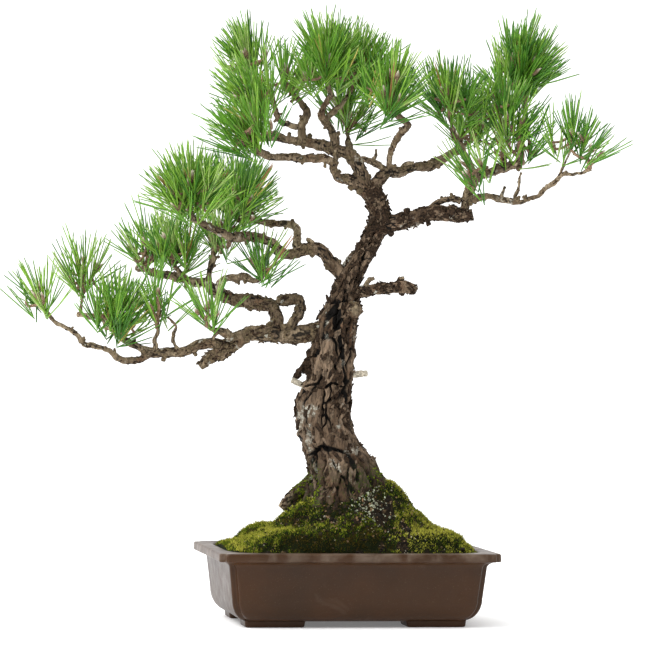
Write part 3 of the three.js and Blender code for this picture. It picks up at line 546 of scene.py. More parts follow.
class Collected:
    """Triangles gathered from many small shapes into one mesh."""

    def __init__(self):
        self.points = []
        self.faces = []
        self.values = {}
        self.count = 0

    def add(self, points, faces, **values):
        """One shape more, with named numbers for its points."""
        points = np.asarray(points, float).reshape(-1, 3)
        self.points.append(points)
        self.faces.append(np.asarray(faces, np.int64).reshape(-1, 3) + self.count)
        for name, value in values.items():
            self.values.setdefault(name, []).append(np.broadcast_to(value, len(points)))
        self.count += len(points)

    def piece(self, name, material, slot, shade_smooth=True):
        """The mesh as an object in metres, on the part's one body."""
        points = (np.concatenate(self.points) + POT_MIDDLE) / 1000
        faces = np.concatenate(self.faces).astype(np.int32)
        mesh = bpy.data.meshes.new(name)
        mesh.vertices.add(len(points))
        mesh.vertices.foreach_set("co", points.astype(np.float32).ravel())
        mesh.loops.add(faces.size)
        mesh.loops.foreach_set("vertex_index", faces.ravel())
        mesh.polygons.add(len(faces))
        mesh.polygons.foreach_set("loop_start", np.arange(0, faces.size, 3, dtype=np.int32))
        for label, parts in self.values.items():
            layer = mesh.attributes.new(label, "FLOAT", "POINT")
            layer.data.foreach_set("value", np.concatenate(parts).astype(np.float32))
        mesh.update(calc_edges=True)
        mesh.validate()
        mesh.polygons.foreach_set("use_smooth", np.full(len(faces), shade_smooth))
        mesh.materials.append(material)
        item = bpy.data.objects.new(name, mesh)
        bpy.context.scene.collection.objects.link(item)
        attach(item, "root")
        return item


def ring_faces(rows, columns):
    """Faces between rows of rings that close round."""
    row, column = np.meshgrid(np.arange(rows - 1), np.arange(columns), indexing="ij")
    a = row * columns + column
    b = row * columns + (column + 1) % columns
    one = np.stack([a, b, b + columns], -1)
    two = np.stack([a, b + columns, a + columns], -1)
    return np.concatenate([one.reshape(-1, 3), two.reshape(-1, 3)])


def cap_faces(start, columns, hub, flip):
    """Faces from a ring to a point in its middle."""
    a = start + np.arange(columns)
    b = start + (np.arange(columns) + 1) % columns
    ends = (b, a) if flip else (a, b)
    return np.stack([np.full(columns, hub), *ends], -1)


def closed_tube(grid):
    """Points and faces of a tube of rings, closed at both ends."""
    rows, columns, _ = grid.shape
    points = np.concatenate([grid.reshape(-1, 3), grid[:1].mean(1), grid[-1:].mean(1)])
    last = rows * columns
    faces = np.concatenate([
        ring_faces(rows, columns), cap_faces(0, columns, last, True),
        cap_faces(last - columns, columns, last + 1, False)])
    return points, faces


def copies(faces, count, size):
    """The same faces for each of many shapes that have so many points."""
    return (faces[None] + size * np.arange(count)[:, None, None]).reshape(-1, 3)


def level_rings(outlines, heights):
    """Closed outlines, each lifted to its height."""
    return np.array([
        np.concatenate([outline, np.full((len(outline), 1), z)], 1) for outline, z in zip(outlines, heights)])


# Limbs

def seen(values):
    """Places in front of the trunk or behind it, shifted so that the camera still sees them there."""
    across, height, depth = np.moveaxis(np.asarray(values, float)[..., :3], -1, 0)
    spread = 1 + depth / VIEW_DISTANCE
    return np.stack([
        VIEW_ACROSS + (across - VIEW_ACROSS) * spread, depth,
        VIEW_HEIGHT + (height - VIEW_HEIGHT) * spread], -1)


def on_limb(way, shares):
    """Points and radii on a limb that runs smoothly through its way-points."""
    way = np.asarray(way, float)
    last = len(way) - 1
    place = np.asarray(shares, float) * last
    start = np.clip(np.floor(place).astype(int), 0, last - 1)
    a, b, c, d = (way[np.clip(start + k, 0, last)] for k in (-1, 0, 1, 2))
    t = (place - start)[:, None]
    values = b + 0.5 * t * (c - a + t * (2 * a - 5 * b + 4 * c - d + t * (3 * (b - c) + d - a)))
    return seen(values), values[:, 3]


def even_line(points, radii, spacing):
    """The same line with points at an even spacing."""
    steps = np.linalg.norm(np.diff(points, axis=0), axis=1)
    along = np.concatenate([[0], np.cumsum(steps)])
    marks = np.linspace(0, along[-1], max(3, round(along[-1] / spacing) + 1))
    line = np.stack([np.interp(marks, along, points[:, k]) for k in range(3)], -1)
    return line, np.interp(marks, along, radii), marks


def frames(line):
    """Directions along and across a line, turned as little as can be from ring to ring."""
    ahead = unit(np.gradient(line, axis=0))
    side = np.array([0.0, 1.0, 0.0])
    sides = []
    for direction in ahead:
        side = side - direction * side.dot(direction)
        side = side / np.linalg.norm(side)
        sides.append(side)
    sides = np.array(sides)
    return ahead, sides, np.cross(ahead, sides)


def spokes(side, third, columns):
    """Directions out from a line, evenly round it at each point."""
    angle = np.arange(columns) / columns * 2 * math.pi
    return side[:, None] * np.cos(angle)[None, :, None] + third[:, None] * np.sin(angle)[None, :, None]


def root_way(turn, reach, radius):
    """Way-points of a root that runs out from the trunk's foot and dives into the soil."""
    angle = math.radians(turn)
    across, _, depth, _ = TRUNK[1]
    way = []
    for share, drop, thickness in ROOT_BENDS:
        distance = max(ROOT_START, share * reach)
        way.append([
            across + distance * math.cos(angle), ROOT_TOP - drop,
            depth + distance * math.sin(angle), radius * thickness])
    return way


def terraces(value, steps):
    """Flat layers with steep edges, as flaking bark has."""
    whole = np.floor(value * steps)
    return (whole + smooth((value * steps - whole - 0.3) / 0.4)) / steps


def large_plates(place, swayed, bent, layers, seed):
    """The plates of old bark: how far they lift, how deep the cracks between them are, and their tone."""
    large, own = plates((0.75 * swayed + 0.25 * bent) * [1, 1, 0.22] / PLATE_SIZE, seed + 11)
    large = large + 0.05 * rough(bent * [1, 1, 0.3], 6, 2, seed + 14)
    open_crack = smooth((noise(place * [1, 1, 0.4], 18, seed + 12) + 0.8) / 0.6)
    deep = (1 - smooth(large * 7)) * open_crack
    edge = smooth(large * 3) * (1 - smooth((large - 0.3) * 2.4))
    lift = PLATE_RISE * own - PLATE_CRACK * deep + PLATE_EDGE * edge - PLATE_LEVEL
    return lift, deep, 0.6 * own + 0.4 * layers


def bark_relief(around, along, radius, coarse, seed):
    """Height of the bark over the wood, how deep into the cracks each point lies, which is painted as shade,
    and its plate's own tone.
    """
    place = np.concatenate([around, along[..., None]], -1)
    swayed = place + swirl(place, *LARGE_SWAY, seed + 1)
    bent = swayed + swirl(place, *SMALL_SWAY, seed + 4)
    layers = terraces(0.5 + 0.42 * rough(bent * [1, 1, 0.38], LAYER_SIZE, 2, seed + 41), LAYER_STEPS)
    gap, own = plates(bent * [1, 1, 0.3] / (4.2 + 0.14 * radius)[..., None], seed + 5)
    joined = smooth((noise(place, 10, seed + 8) + 0.3) / 0.5)
    crack = (1 - smooth(gap * 4.6)) * joined * 0.8
    crack_depth = (0.45 + 0.07 * radius) * crack
    relief = (0.9 + 0.05 * radius) * layers - crack_depth
    tone = 0.5 * own + 0.5 * layers
    if coarse > 0:
        weight = coarse * smooth((radius - 8) / 12)
        lift, deep, plate_tone = large_plates(place, swayed, bent, layers, seed)
        relief = relief + weight * lift + 0.55 * weight * crack_depth
        crack = np.maximum(crack * (1 - 0.6 * weight), weight * deep)
        tone = tone + weight * (plate_tone - tone)
    ridges = rough(bent * [1, 1, 0.34], RIDGE_SIZE, 2, seed + 23)
    relief = relief + (0.75 - 0.35 * coarse + 0.014 * radius) * ridges
    knobs = (0.2 - 0.13 * coarse) * radius * rough(place, KNOB_SIZE, 2, seed + 31)
    return relief - 0.8 - 0.05 * radius + knobs, np.clip(crack, 0, 1), tone


def crooked(line, marks, seed):
    """The same line with small kinks, as a bough has that was often pruned; its ends stay."""
    place = np.stack([marks, marks * 0 + seed, marks * 0], -1)
    kinks = swirl(place, *LARGE_KINKS, seed + 51) + swirl(place, *SMALL_KINKS, seed + 54)
    ends = smooth(np.minimum(marks, marks[-1] - marks) / KINK_FREE_END)
    return line + kinks * ends[:, None]


def fissure_share(points):
    """How far each place lies inside the long fissures of the trunk."""
    across = points[..., 0] + 3 * noise(points, 11, 97) + 1.2 * noise(points, 4, 99)
    height = points[..., 2] + 3 * noise(points, 11, 98)
    share = np.zeros(across.shape)
    for way in FISSURES:
        way = np.array(way, float)
        for start, end in zip(way, way[1:]):
            run = end - start
            t = (across - start[0]) * run[0] + (height - start[1]) * run[1]
            t = np.clip(t / (run[0] ** 2 + run[1] ** 2), 0, 1)
            away = np.hypot(across - start[0] - t * run[0], height - start[1] - t * run[1])
            share = np.maximum(share, smooth(1.6 - away / (start[2] + t * run[2])))
    return share


def burl_rise(points):
    """How far the swellings raise the trunk's face."""
    lift = 0
    for across, height, reach, rise in BURLS:
        away = np.hypot(points[..., 0] - across, points[..., 2] - height) / reach
        lift = lift + rise * np.exp(-away ** 4)
    return lift


class Surface:
    """The skin of a limb, kept so that scales of bark can be set on it."""

    def __init__(self, points, radii, seed, spacing, step, coarse=0.0):
        self.line, self.radii, self.marks = even_line(points, radii, spacing)
        if coarse < 1:
            self.line = crooked(self.line, self.marks, seed)
        self.ahead, side, third = frames(self.line)
        self.columns = int(np.clip(round(2 * math.pi * self.radii.max() / step), 12, 150))
        self.out = spokes(side, third, self.columns)
        angle = np.arange(self.columns) / self.columns * 2 * math.pi
        radius = np.repeat(self.radii[:, None], self.columns, 1)
        around = radius[..., None] * np.stack([np.cos(angle), np.sin(angle)], -1)
        along = np.repeat(self.marks[:, None], self.columns, 1)
        self.age = smooth((radius - AGES_FROM) / (AGES_TO - AGES_FROM))
        relief, self.crack, self.tone = bark_relief(around, along, radius, coarse, seed)
        if coarse == 1:
            relief = self.old_face(relief, radius)
        ends = np.minimum(1, np.minimum(self.marks, self.marks[-1] - self.marks) / 3)[:, None]
        self.grid = self.line[:, None] + self.out * (radius + relief * ends)[..., None]

    def old_face(self, relief, radius):
        """The relief with the swellings and long fissures of the face that looks to the front; the fissures
        also get painted shade.
        """
        skin = self.line[:, None] + self.out * radius[..., None]
        back = self.out[..., 1] * 2
        grooves = fissure_share(skin) * smooth(0.5 - back)
        self.crack = np.maximum(self.crack, grooves)
        return relief + burl_rise(skin) * smooth(0.3 - back) - FISSURE_DEPTH * grooves

    def add_to(self, collected, above=None):
        """The skin with what its material needs to know, for the trunk also where lichen and moss grow."""
        points, faces = closed_tube(self.grid)
        crack = np.concatenate([self.crack.ravel(), [0.5, 0.5]])
        tone = np.concatenate([self.tone.ravel(), [0.5, 0.5]])
        age = np.concatenate([self.age.ravel(), self.age[0, :1], self.age[-1, :1]])
        lichen, damp = 0 * age, 0 * age
        if above is not None:
            points[:, 2] = np.maximum(points[:, 2], above)
            lichen, damp = lichen_share(points), damp_share(points)
        looks = {"crack": crack, "tone": tone, "age": age, "lichen": lichen, "damp": damp}
        collected.add(to_object(points), faces, **looks)


def lichen_share(points):
    """How much lichen covers the trunk: most on its left face, with a few strays elsewhere."""
    across, depth, height = np.moveaxis(points, -1, 0)
    share = np.zeros(len(points))
    for middle, level, reach, tall in LICHEN_PATCHES:
        away = np.hypot((across - middle) / reach, (height - level) / tall)
        share = np.maximum(share, smooth(1.2 - away + 1.1 * rough(points, 7, 3, 94)))
    return share * (depth < 12)


def damp_share(points):
    """Where the foot of the trunk is dark and mossy: low down, and most beside its middle."""
    across, _, height = np.moveaxis(points, -1, 0)
    beside = 0.3 + 0.6 * smooth((-22 - across) / 14) + 0.6 * smooth((across - 2) / 16)
    return smooth((DAMP_TOP - height) / DAMP_FADE) * np.minimum(1, beside) * smooth((across + 78) / 30)


def finely(way):
    """Points and radii close together on a limb."""
    return on_limb(way, np.linspace(0, 1, 30 * len(way)))


def limb_surfaces():
    """The skin of the trunk with its roots, and that of each limb."""
    trunk = [Surface(*finely(TRUNK), TRUNK_SEED, *TRUNK_MESH, 1.0)]
    for index, root in enumerate(ROOTS):
        trunk.append(Surface(*finely(root_way(*root)), ROOT_SEED + index, *ROOT_MESH, 1.0))
    boughs = {
        name: Surface(*finely(way), BOUGH_SEED + 7 * index, *BOUGH_MESH, 0.25)
        for index, (name, way) in enumerate(LIMBS.items())}
    for name, age in AGED_BOUGHS.items():
        boughs[name].age = np.maximum(boughs[name].age, age)
    for name, age in YOUNG_BOUGHS.items():
        boughs[name].age = np.minimum(boughs[name].age, age)
    for index, way in enumerate([*SPURS, KNOB]):
        boughs["spur_%d" % index] = Surface(*finely(way), SPUR_SEED + index, *BOUGH_MESH)
    for index, (line, radii) in enumerate(all_shoots()[0]):
        boughs["stem_%d" % index] = Surface(line, radii, STEM_SEED + index, *STEM_MESH)
    return trunk, boughs


def scales_on(surface, count, size, lift, random, keep=None):
    """Scales of bark that stand off a limb: their middles, directions and sizes."""
    rows = random.integers(2, len(surface.line) - 2, count)
    columns = random.integers(0, surface.columns, count)
    middle = surface.grid[rows, columns]
    out = surface.out[rows, columns]
    ahead = surface.ahead[rows]
    if keep is not None:
        kept = keep(middle)
        middle, out, ahead = middle[kept], out[kept], ahead[kept]
    tilt = random.normal(0, lift, (len(middle), 1))
    turn = random.normal(0, 0.35, (len(middle), 1))
    along = unit(ahead + out * tilt + np.cross(out, ahead) * turn)
    normal = unit(out - along * np.sum(out * along, 1, keepdims=True))
    length = random.uniform(0.6, 1.4, len(middle)) * size
    return middle, along, normal, length


def scales(middle, along, normal, length, random, width=0.55, thickness=0.16):
    """Thin irregular plates with a few corners, closed below by a skirt: their points and faces."""
    count, corners = len(middle), SCALE_CORNERS
    angle = (np.arange(corners) + random.uniform(-0.3, 0.3, (count, corners))) / corners * 2 * math.pi
    reach = random.uniform(0.7, 1.15, (count, corners)) / 2
    across = np.cross(normal, along)
    x = (np.cos(angle) * reach * length[:, None])[..., None]
    y = (np.sin(angle) * reach * (length * width)[:, None])[..., None]
    lift = (length * thickness)[:, None, None]
    top = middle[:, None] + along[:, None] * x + across[:, None] * y + normal[:, None] * lift * 0.7
    bottom = top - normal[:, None] * lift * 1.5
    hub = middle[:, None] + normal[:, None] * lift
    points = np.concatenate([hub, top, bottom], 1)
    k = 1 + np.arange(corners)
    after = 1 + k % corners
    faces = np.concatenate([
        np.stack([0 * k, k, after], -1), np.stack([k, k + corners, after + corners], -1),
        np.stack([k, after + corners, after], -1)])
    return points.reshape(-1, 3), copies(faces, count, 2 * corners + 1)


def add_scales(collected, *sheet, **look):
    """Scales of bark, given as for the function above."""
    points, faces = scales(*sheet, **look)
    collected.add(to_object(points), faces)


# Foliage

def seeded(seed):
    """The same row of numbers as the solids use."""
    state = (seed * 2654435761) % 2 ** 32

    def draw():
        nonlocal state
        state = (state * 1664525 + 1013904223) % 2 ** 32
        return state / 2 ** 32

    return draw


def shoots_of(index, middle, spread, count, lean):
    """The golden angle spreads the shoots round the middle, and the outer ones lie lower."""
    random = seeded(index + 1)
    shoots = []
    for i in range(count):
        out = math.sqrt((i + 0.25) / (count - 0.5))
        turn = index * 1.7 + i * GOLDEN_ANGLE + (random() - 0.5) * TURN_JITTER
        rise = 1 - 2 * ((i + 0.5) / count) + (random() - 0.5) * RISE_JITTER
        away = np.array([out * math.cos(turn), out * math.sin(turn), 0])
        base = middle + [away[0] * spread[0], away[1] * spread[2], rise * spread[1]]
        axis = unit(away * SPLAY + [lean, 0, UPWARD])
        shoots.append((base, axis))
    return shoots


def bezier(a, b, c, t):
    """Points on a curve from a to c that b pulls toward itself."""
    t = np.asarray(t, float)[:, None]
    return a * (1 - t) ** 2 + 2 * b * t * (1 - t) + c * t ** 2


def side_shoots(start, base, axis, full, random):
    """Finer shoots that leave a shoot's twig and end round it: [foot, base, axis, vigour]."""
    side = unit(np.cross([0.3, 1.0, 0.1], axis))
    third = np.cross(axis, side)
    shoots = [(start, base, axis, 1.0)]
    first = random.uniform(0, 2 * math.pi)
    for k in range(min(SIDE_SHOOTS, round(SIDE_SHOOTS * full * 1.2))):
        angle = first + k * GOLDEN_ANGLE
        away = side * math.cos(angle) + third * math.sin(angle)
        reach = SIDE_REACH * random.uniform(0.7, 1.25)
        end = base + away * reach - axis * SIDE_DROP * random.uniform(0.2, 1.7)
        foot = start + (base - start) * random.uniform(0.45, 0.8)
        out = unit(axis + away * SIDE_SPLAY * random.uniform(0.6, 1.3))
        shoots.append((foot, end, out, random.uniform(0.28, 0.85)))
    return shoots


def all_shoots():
    """Every stem as a line with radii, and every fine shoot: [foot, tip, axis, vigour, width, order]."""
    stems, shoots = [], []
    for index, row in enumerate(MASSES.values()):
        on, share, middle, spread, count, lean, full, wide = row
        random = np.random.default_rng(MASS_SEED + index)
        middle = seen(middle)
        foot, radius = on_limb(LIMBS[on], [share - 0.03])
        end = middle - [0, 0, spread[1] + STEM_DROP]
        bend = (foot[0] + end) / 2 - [0, 0, TWIG_SAG]
        start_radius = max(STEM_END, radius[0] * STEM_START)
        t = np.linspace(0, 1, 12)
        stems.append((bezier(foot[0], bend, end, t), start_radius + (STEM_END - start_radius) * t))
        for i, (base, axis) in enumerate(shoots_of(index, middle, spread, count, lean)):
            start = bezier(foot[0], bend, end, [1 - STEM_FORKS * i / count])[0]
            for k, (root, tip, out, vigour) in enumerate(side_shoots(start, base, axis, full, random)):
                shoots.append((root, tip, out, vigour * full, wide, k))
    return stems, shoots


def add_twig(collected, line, radii, sides, seed):
    """A thin twig, rough with the scars of old needles."""
    _, side, third = frames(line)
    random = np.random.default_rng(seed)
    swell = 1 + random.uniform(-0.16, 0.22, (len(line), sides))
    out = spokes(side, third, sides)
    points, faces = closed_tube(line[:, None] + out * (radii[:, None] * swell)[..., None])
    collected.add(to_object(points), faces)


def add_bud(collected, base, axis, length, radius):
    """A pointed winter bud in rings that step in like its scales."""
    share, girth = np.array(BUD_RINGS).T
    line = base + axis * length * share[:, None]
    _, side, third = frames(line + np.arange(len(share))[:, None] * [1e-4, 0, 0])
    out = spokes(side, third, BUD_SIDES)
    points, faces = closed_tube(line[:, None] + out * (radius * girth)[:, None, None])
    height = np.concatenate([np.repeat(share, BUD_SIDES), [0, 1]])
    collected.add(to_object(points), faces, height=height)


def needles_of(tip, axis, vigour, wide, random):
    """Where each needle of a shoot starts, its first and last direction and its length."""
    pairs = max(4, int(PAIRS_TO_A_SHOOT * vigour))
    side = unit(np.cross([0.2, 1.0, 0.3], axis))
    third = np.cross(axis, side)
    rank = (np.arange(pairs) + random.uniform(0, 1, pairs)) / pairs
    turn = np.arange(pairs) * GOLDEN_ANGLE + random.uniform(-0.6, 0.6, pairs)
    opening = OPEN_TO + (OPEN_FROM * wide - OPEN_TO) * (1 - rank) ** 1.3
    opening = np.radians(opening + random.normal(0, OPEN_JITTER, pairs))
    away = side * np.cos(turn)[:, None] + third * np.sin(turn)[:, None]
    first = axis * np.cos(opening)[:, None] + away * np.sin(opening)[:, None]
    start = tip - axis * (NEEDLE_GAP + SHOOT_LENGTH * (1 - rank))[:, None]
    kept = (first[:, 2] > random.uniform(-0.05, 0.4, pairs)) | (random.uniform(0, 1, pairs) < HANGING)
    first, start, away, pairs = first[kept], start[kept], away[kept], int(kept.sum())
    twin = unit(np.cross(first, away + random.normal(0, 0.6, (pairs, 3))))
    start = np.repeat(start, 2, 0)
    parting = np.stack([twin, -twin], 1).reshape(-1, 3)
    first = unit(np.repeat(first, 2, 0) + TWIN_PARTING * parting)
    bend = BEND_IN * axis + [0, 0, BEND_UP] + random.normal(0, BEND_JITTER, (2 * pairs, 3)) + 0.05 * parting
    length = NEEDLE * random.uniform(*NEEDLE_LENGTHS, (pairs, 1)) * (0.94 + 0.06 * vigour)
    length = np.repeat(length, 2, 0) * random.uniform(*TWIN_LENGTHS, (2 * pairs, 1))
    return start, first, unit(first + bend), length


def add_needles(collected, start, first, last, length):
    """Three-sided needles that bend a little and run out to a point."""
    side = unit(np.cross(first, last + [0.013, 0.007, 0.011]))
    third = unit(np.cross(first, side))
    share = np.array(NEEDLE_SHARES)[None, :, None]
    bent = (last - first)[:, None]
    line = start[:, None] + length[:, None] * (first[:, None] * share + bent * share ** 2 / 2)
    tip = start[:, None] + length[:, None] * (first[:, None] + bent / 2)
    radius = NEEDLE_RADIUS * np.array(NEEDLE_TAPER)[None, :, None, None]
    rings = line[:, :, None] + spokes(side, third, 3)[:, None] * radius
    points = np.concatenate([rings.reshape(len(start), -1, 3), tip], 1)
    faces = np.concatenate([ring_faces(3, 3), cap_faces(6, 3, 9, False)])
    collected.add(to_object(points), copies(faces, *points.shape[:2]))


# Materials

def linear(colour):
    """A colour as the shader wants it."""
    values = [c / 255 for c in colour]
    values = [v / 12.92 if v <= 0.04045 else ((v + 0.055) / 1.055) ** 2.4 for v in values]
    return (*values, 1)


class Paint:
    """A material's nodes, with short calls for those used here."""

    def __init__(self, name, roughness=0.8, specular=0.3):
        self.material = bpy.data.materials.new(name)
        self.material.use_nodes = True
        self.nodes = self.material.node_tree.nodes
        self.shader = self.nodes["Principled BSDF"]
        self.shader.inputs["Roughness"].default_value = roughness
        self.shader.inputs["Specular IOR Level"].default_value = specular
        self.place = self.nodes.new("ShaderNodeTexCoord").outputs["Object"]

    def link(self, source, socket):
        self.material.node_tree.links.new(source, socket)

    def noise(self, size, detail=3.0, distortion=0.0, stretch=None):
        node = self.nodes.new("ShaderNodeTexNoise")
        node.inputs["Scale"].default_value = 1000 / size
        node.inputs["Detail"].default_value = detail
        node.inputs["Distortion"].default_value = distortion
        place = self.place
        if stretch:
            mapping = self.nodes.new("ShaderNodeMapping")
            mapping.inputs["Scale"].default_value = stretch
            self.link(self.place, mapping.inputs["Vector"])
            place = mapping.outputs["Vector"]
        self.link(place, node.inputs["Vector"])
        return node.outputs["Fac"]

    def attribute(self, name):
        node = self.nodes.new("ShaderNodeAttribute")
        node.attribute_name = name
        return node.outputs["Fac"]

    def place_along(self, axis):
        node = self.nodes.new("ShaderNodeSeparateXYZ")
        self.link(self.place, node.inputs[0])
        return node.outputs[axis]

    def range(self, source, low, high, start=0.0, end=1.0):
        """From low to high becomes from start to end."""
        node = self.nodes.new("ShaderNodeMapRange")
        node.inputs["From Min"].default_value = low
        node.inputs["From Max"].default_value = high
        node.inputs["To Min"].default_value = start
        node.inputs["To Max"].default_value = end
        self.link(source, node.inputs["Value"])
        return node.outputs["Result"]

    def times(self, one, two):
        node = self.nodes.new("ShaderNodeMath")
        node.operation = "MULTIPLY"
        for socket, value in zip(node.inputs, (one, two)):
            if isinstance(value, (int, float)):
                socket.default_value = value
            else:
                self.link(value, socket)
        return node.outputs[0]

    def mix(self, share, one, two):
        """From one colour to the other as the share rises."""
        node = self.nodes.new("ShaderNodeMix")
        node.data_type = "RGBA"
        for socket, value in ((node.inputs[6], one), (node.inputs[7], two)):
            if isinstance(value, tuple):
                socket.default_value = linear(value)
            else:
                self.link(value, socket)
        self.link(share, node.inputs[0])
        return node.outputs[2]

    def colour(self, source):
        self.link(source, self.shader.inputs["Base Color"])

    def roughness(self, source):
        self.link(source, self.shader.inputs["Roughness"])

    def bump(self, source, strength=0.5, distance=0.001):
        node = self.nodes.new("ShaderNodeBump")
        node.inputs["Strength"].default_value = strength
        node.inputs["Distance"].default_value = distance
        self.link(source, node.inputs["Height"])
        self.link(node.outputs["Normal"], self.shader.inputs["Normal"])


def darker(colour, share):
    return tuple(int(round(c * share)) for c in colour)


def weathering_and_sheen(paint, plate):
    """The trunk's bark with a bloom and crusts of lichen, and dark moss on its damp foot."""
    lichen, damp = paint.attribute("lichen"), paint.attribute("damp")
    plate = paint.mix(paint.times(lichen, 0.34), plate, darker(LICHEN, 0.82))
    crust = paint.times(lichen, paint.range(paint.noise(2.2, 4), 0.5, 0.6, 0, 0.85))
    plate = paint.mix(crust, plate, LICHEN)
    plate = paint.mix(paint.times(damp, 0.68), plate, darker(BARK_MID, 0.34))
    moss = paint.times(damp, paint.range(paint.noise(2.4, 4), 0.5, 0.6))
    return paint.mix(moss, plate, darker(MOSS_TONES["green"], 0.7))


def bark_paint(name, lichen_from, mossy):
    """Cracks painted dark as shade, plates in several browns that are paler on young wood, and patches of
    lichen.
    """
    paint = Paint(name, 0.85, 0.18)
    tone = paint.range(paint.attribute("tone"), 0.2, 0.85)
    age = paint.attribute("age")
    plate = paint.mix(tone, paint.mix(age, BOUGH_MID, BARK_MID), paint.mix(age, BOUGH_PALE, BARK_PALE))
    plate = paint.mix(paint.range(paint.noise(30, 3), 0.56, 0.68, 0, 0.55), plate, BARK_RED)
    grain = paint.noise(2.2, 4, 0.6, (1, 1, 0.2))
    streak = paint.times(paint.range(grain, 0.36, 0.58, 0.72, 0), paint.range(age, 0, 1, 0.8, 1))
    plate = paint.mix(streak, plate, darker(BARK_MID, 0.42))
    shade = paint.range(paint.noise(9, 4, 0.5, (1, 1, 0.35)), 0.46, 0.74, 0, 0.42)
    plate = paint.mix(shade, plate, darker(BARK_MID, 0.5))
    # Painted shade: cracks and fissures darkened to near black, a little less on young bark
    crack = paint.times(paint.range(paint.attribute("crack"), 0.2, 0.55), paint.range(age, 0, 1, 0.85, 1))
    plate = paint.mix(crack, plate, BARK_SHADE_IN_CRACKS)
    patches = paint.range(paint.noise(34, 5, 0.4), lichen_from, lichen_from + 0.07, 0, 0.85)
    fleck = paint.times(patches, paint.range(paint.noise(3.0, 3), 0.46, 0.58))
    plate = paint.mix(fleck, plate, LICHEN)
    if mossy:
        plate = weathering_and_sheen(paint, plate)
    paint.colour(plate)
    paint.roughness(paint.range(grain, 0.2, 0.8, 0.7, 0.92))
    paint.bump(grain, 0.8, 0.0014)
    return paint.material


def speckled_paint(name, colour, share=0.6, size=4, roughness=0.85, specular=0.25, bump=0.4):
    """One colour that darkens in soft specks, with a fine bump."""
    paint = Paint(name, roughness, specular)
    specks = paint.noise(size, 3)
    paint.colour(paint.mix(paint.range(specks, 0.35, 0.65), darker(colour, share), colour))
    paint.bump(paint.noise(size / 3, 2), bump, 0.0006)
    return paint.material


def needle_paint(tone):
    """Needles are waxy, and vary a little from one to the next."""
    colour = NEEDLE_TONES[tone]
    paint = Paint("needle_" + tone, 0.42, 0.4)
    change = paint.noise(7, 2)
    paint.colour(paint.mix(paint.range(change, 0.35, 0.65), darker(colour, 0.82), colour))
    paint.roughness(paint.range(change, 0.3, 0.7, 0.36, 0.52))
    return paint.material


def bud_paint():
    """Brown scales that are pale toward the bud's tip."""
    paint = Paint("bud_scales", 0.6, 0.3)
    brown = paint.mix(paint.range(paint.noise(1.2, 2), 0.4, 0.6), darker(BUD, 0.6), BUD)
    paint.colour(paint.mix(paint.range(paint.attribute("height"), 0.55, 0.95), brown, BUD_TIP))
    paint.bump(paint.noise(0.9, 2), 0.5, 0.0005)
    return paint.material


def clay_paint():
    """Unglazed clay: fine grit, soft blotches, a paler bloom on the rim, and a paler left end that is painted
    sheen and weathering.
    """
    paint = Paint("unglazed_clay", 0.5, 0.22)
    body = paint.mix(paint.range(paint.noise(60, 4), 0.35, 0.7), darker(CLAY, 0.82), CLAY)
    body = paint.mix(paint.range(paint.noise(1.6, 2), 0.62, 0.8, 0, 0.25), body, CLAY_PALE)
    rim = paint.range(paint.place_along("Z"), 0.074, 0.081)
    bloom = paint.times(rim, paint.range(paint.noise(24, 4, 0.5), 0.42, 0.68, 0.05, 0.8))
    body = paint.mix(bloom, body, CLAY_PALE)
    stain = paint.range(paint.noise(38, 5, 0.8), 0.62, 0.8, 0, 0.2)
    body = paint.mix(stain, body, CLAY_PALE)
    # The left end is painted paler: painted sheen of the light from the left, with weathering
    weathering_and_sheen = paint.range(paint.place_along("X"), -0.124, -0.150, 0, 0.85)
    paint.colour(paint.mix(weathering_and_sheen, body, CLAY_PALE))
    paint.roughness(paint.range(paint.noise(14, 3), 0.3, 0.7, 0.33, 0.44))
    paint.bump(paint.noise(1.3, 3), 0.18, 0.0005)
    return paint.material


# Pot

def rounded_corners(corners, radius, steps=4):
    """A closed outline with each corner rounded."""
    ring = []
    corners = np.asarray(corners, float)
    for k, corner in enumerate(corners):
        before = unit(corners[k - 1] - corner)
        after = unit(corners[(k + 1) % len(corners)] - corner)
        for t in np.linspace(0, 1, steps):
            ring.append(bezier(corner + before * radius, corner, corner + after * radius, [t])[0])
    return np.array(ring)


def notched_ring(inset, radius=CORNER_RADIUS):
    """The pot's outline: a rectangle with stepped corners."""
    x, y, n = RIM_LENGTH / 2 - inset, RIM_DEPTH / 2 - inset, CORNER_NOTCH
    corners = []
    for sx, sy in ((1, 1), (-1, 1), (-1, -1), (1, -1)):
        corner = [[x, y - n], [x - n, y - n], [x - n, y]]
        if sx * sy < 0:
            corner.reverse()
        corners += [[sx * px, sy * py] for px, py in corner]
    return rounded_corners(corners, radius)


def finer_ring(ring, longest=7.0):
    """More points on the long straight sides, the same number on every ring."""
    base = notched_ring(0)
    counts = [max(1, round(np.linalg.norm(base[(k + 1) % len(base)] - base[k]) / longest))
              for k in range(len(base))]
    points = []
    for k, count in enumerate(counts):
        for step in range(count):
            points.append(ring[k] + (ring[(k + 1) % len(ring)] - ring[k]) * step / count)
    return np.array(points)


def cavity_reach(angle, z, margin=0.0):
    """How far the pot's inner wall is from the middle, in this direction and at this height."""
    drop = (RIM_TOP - z) / (RIM_TOP - POT_FLOOR)
    x = RIM_LENGTH / 2 - RIM_WIDTH - CAVITY_TAPER * drop + margin
    y = RIM_DEPTH / 2 - RIM_WIDTH - CAVITY_TAPER * drop + margin
    power = CAVITY_SQUARENESS
    return (np.abs(np.cos(angle) / x) ** power + np.abs(np.sin(angle) / y) ** power) ** (-1 / power)


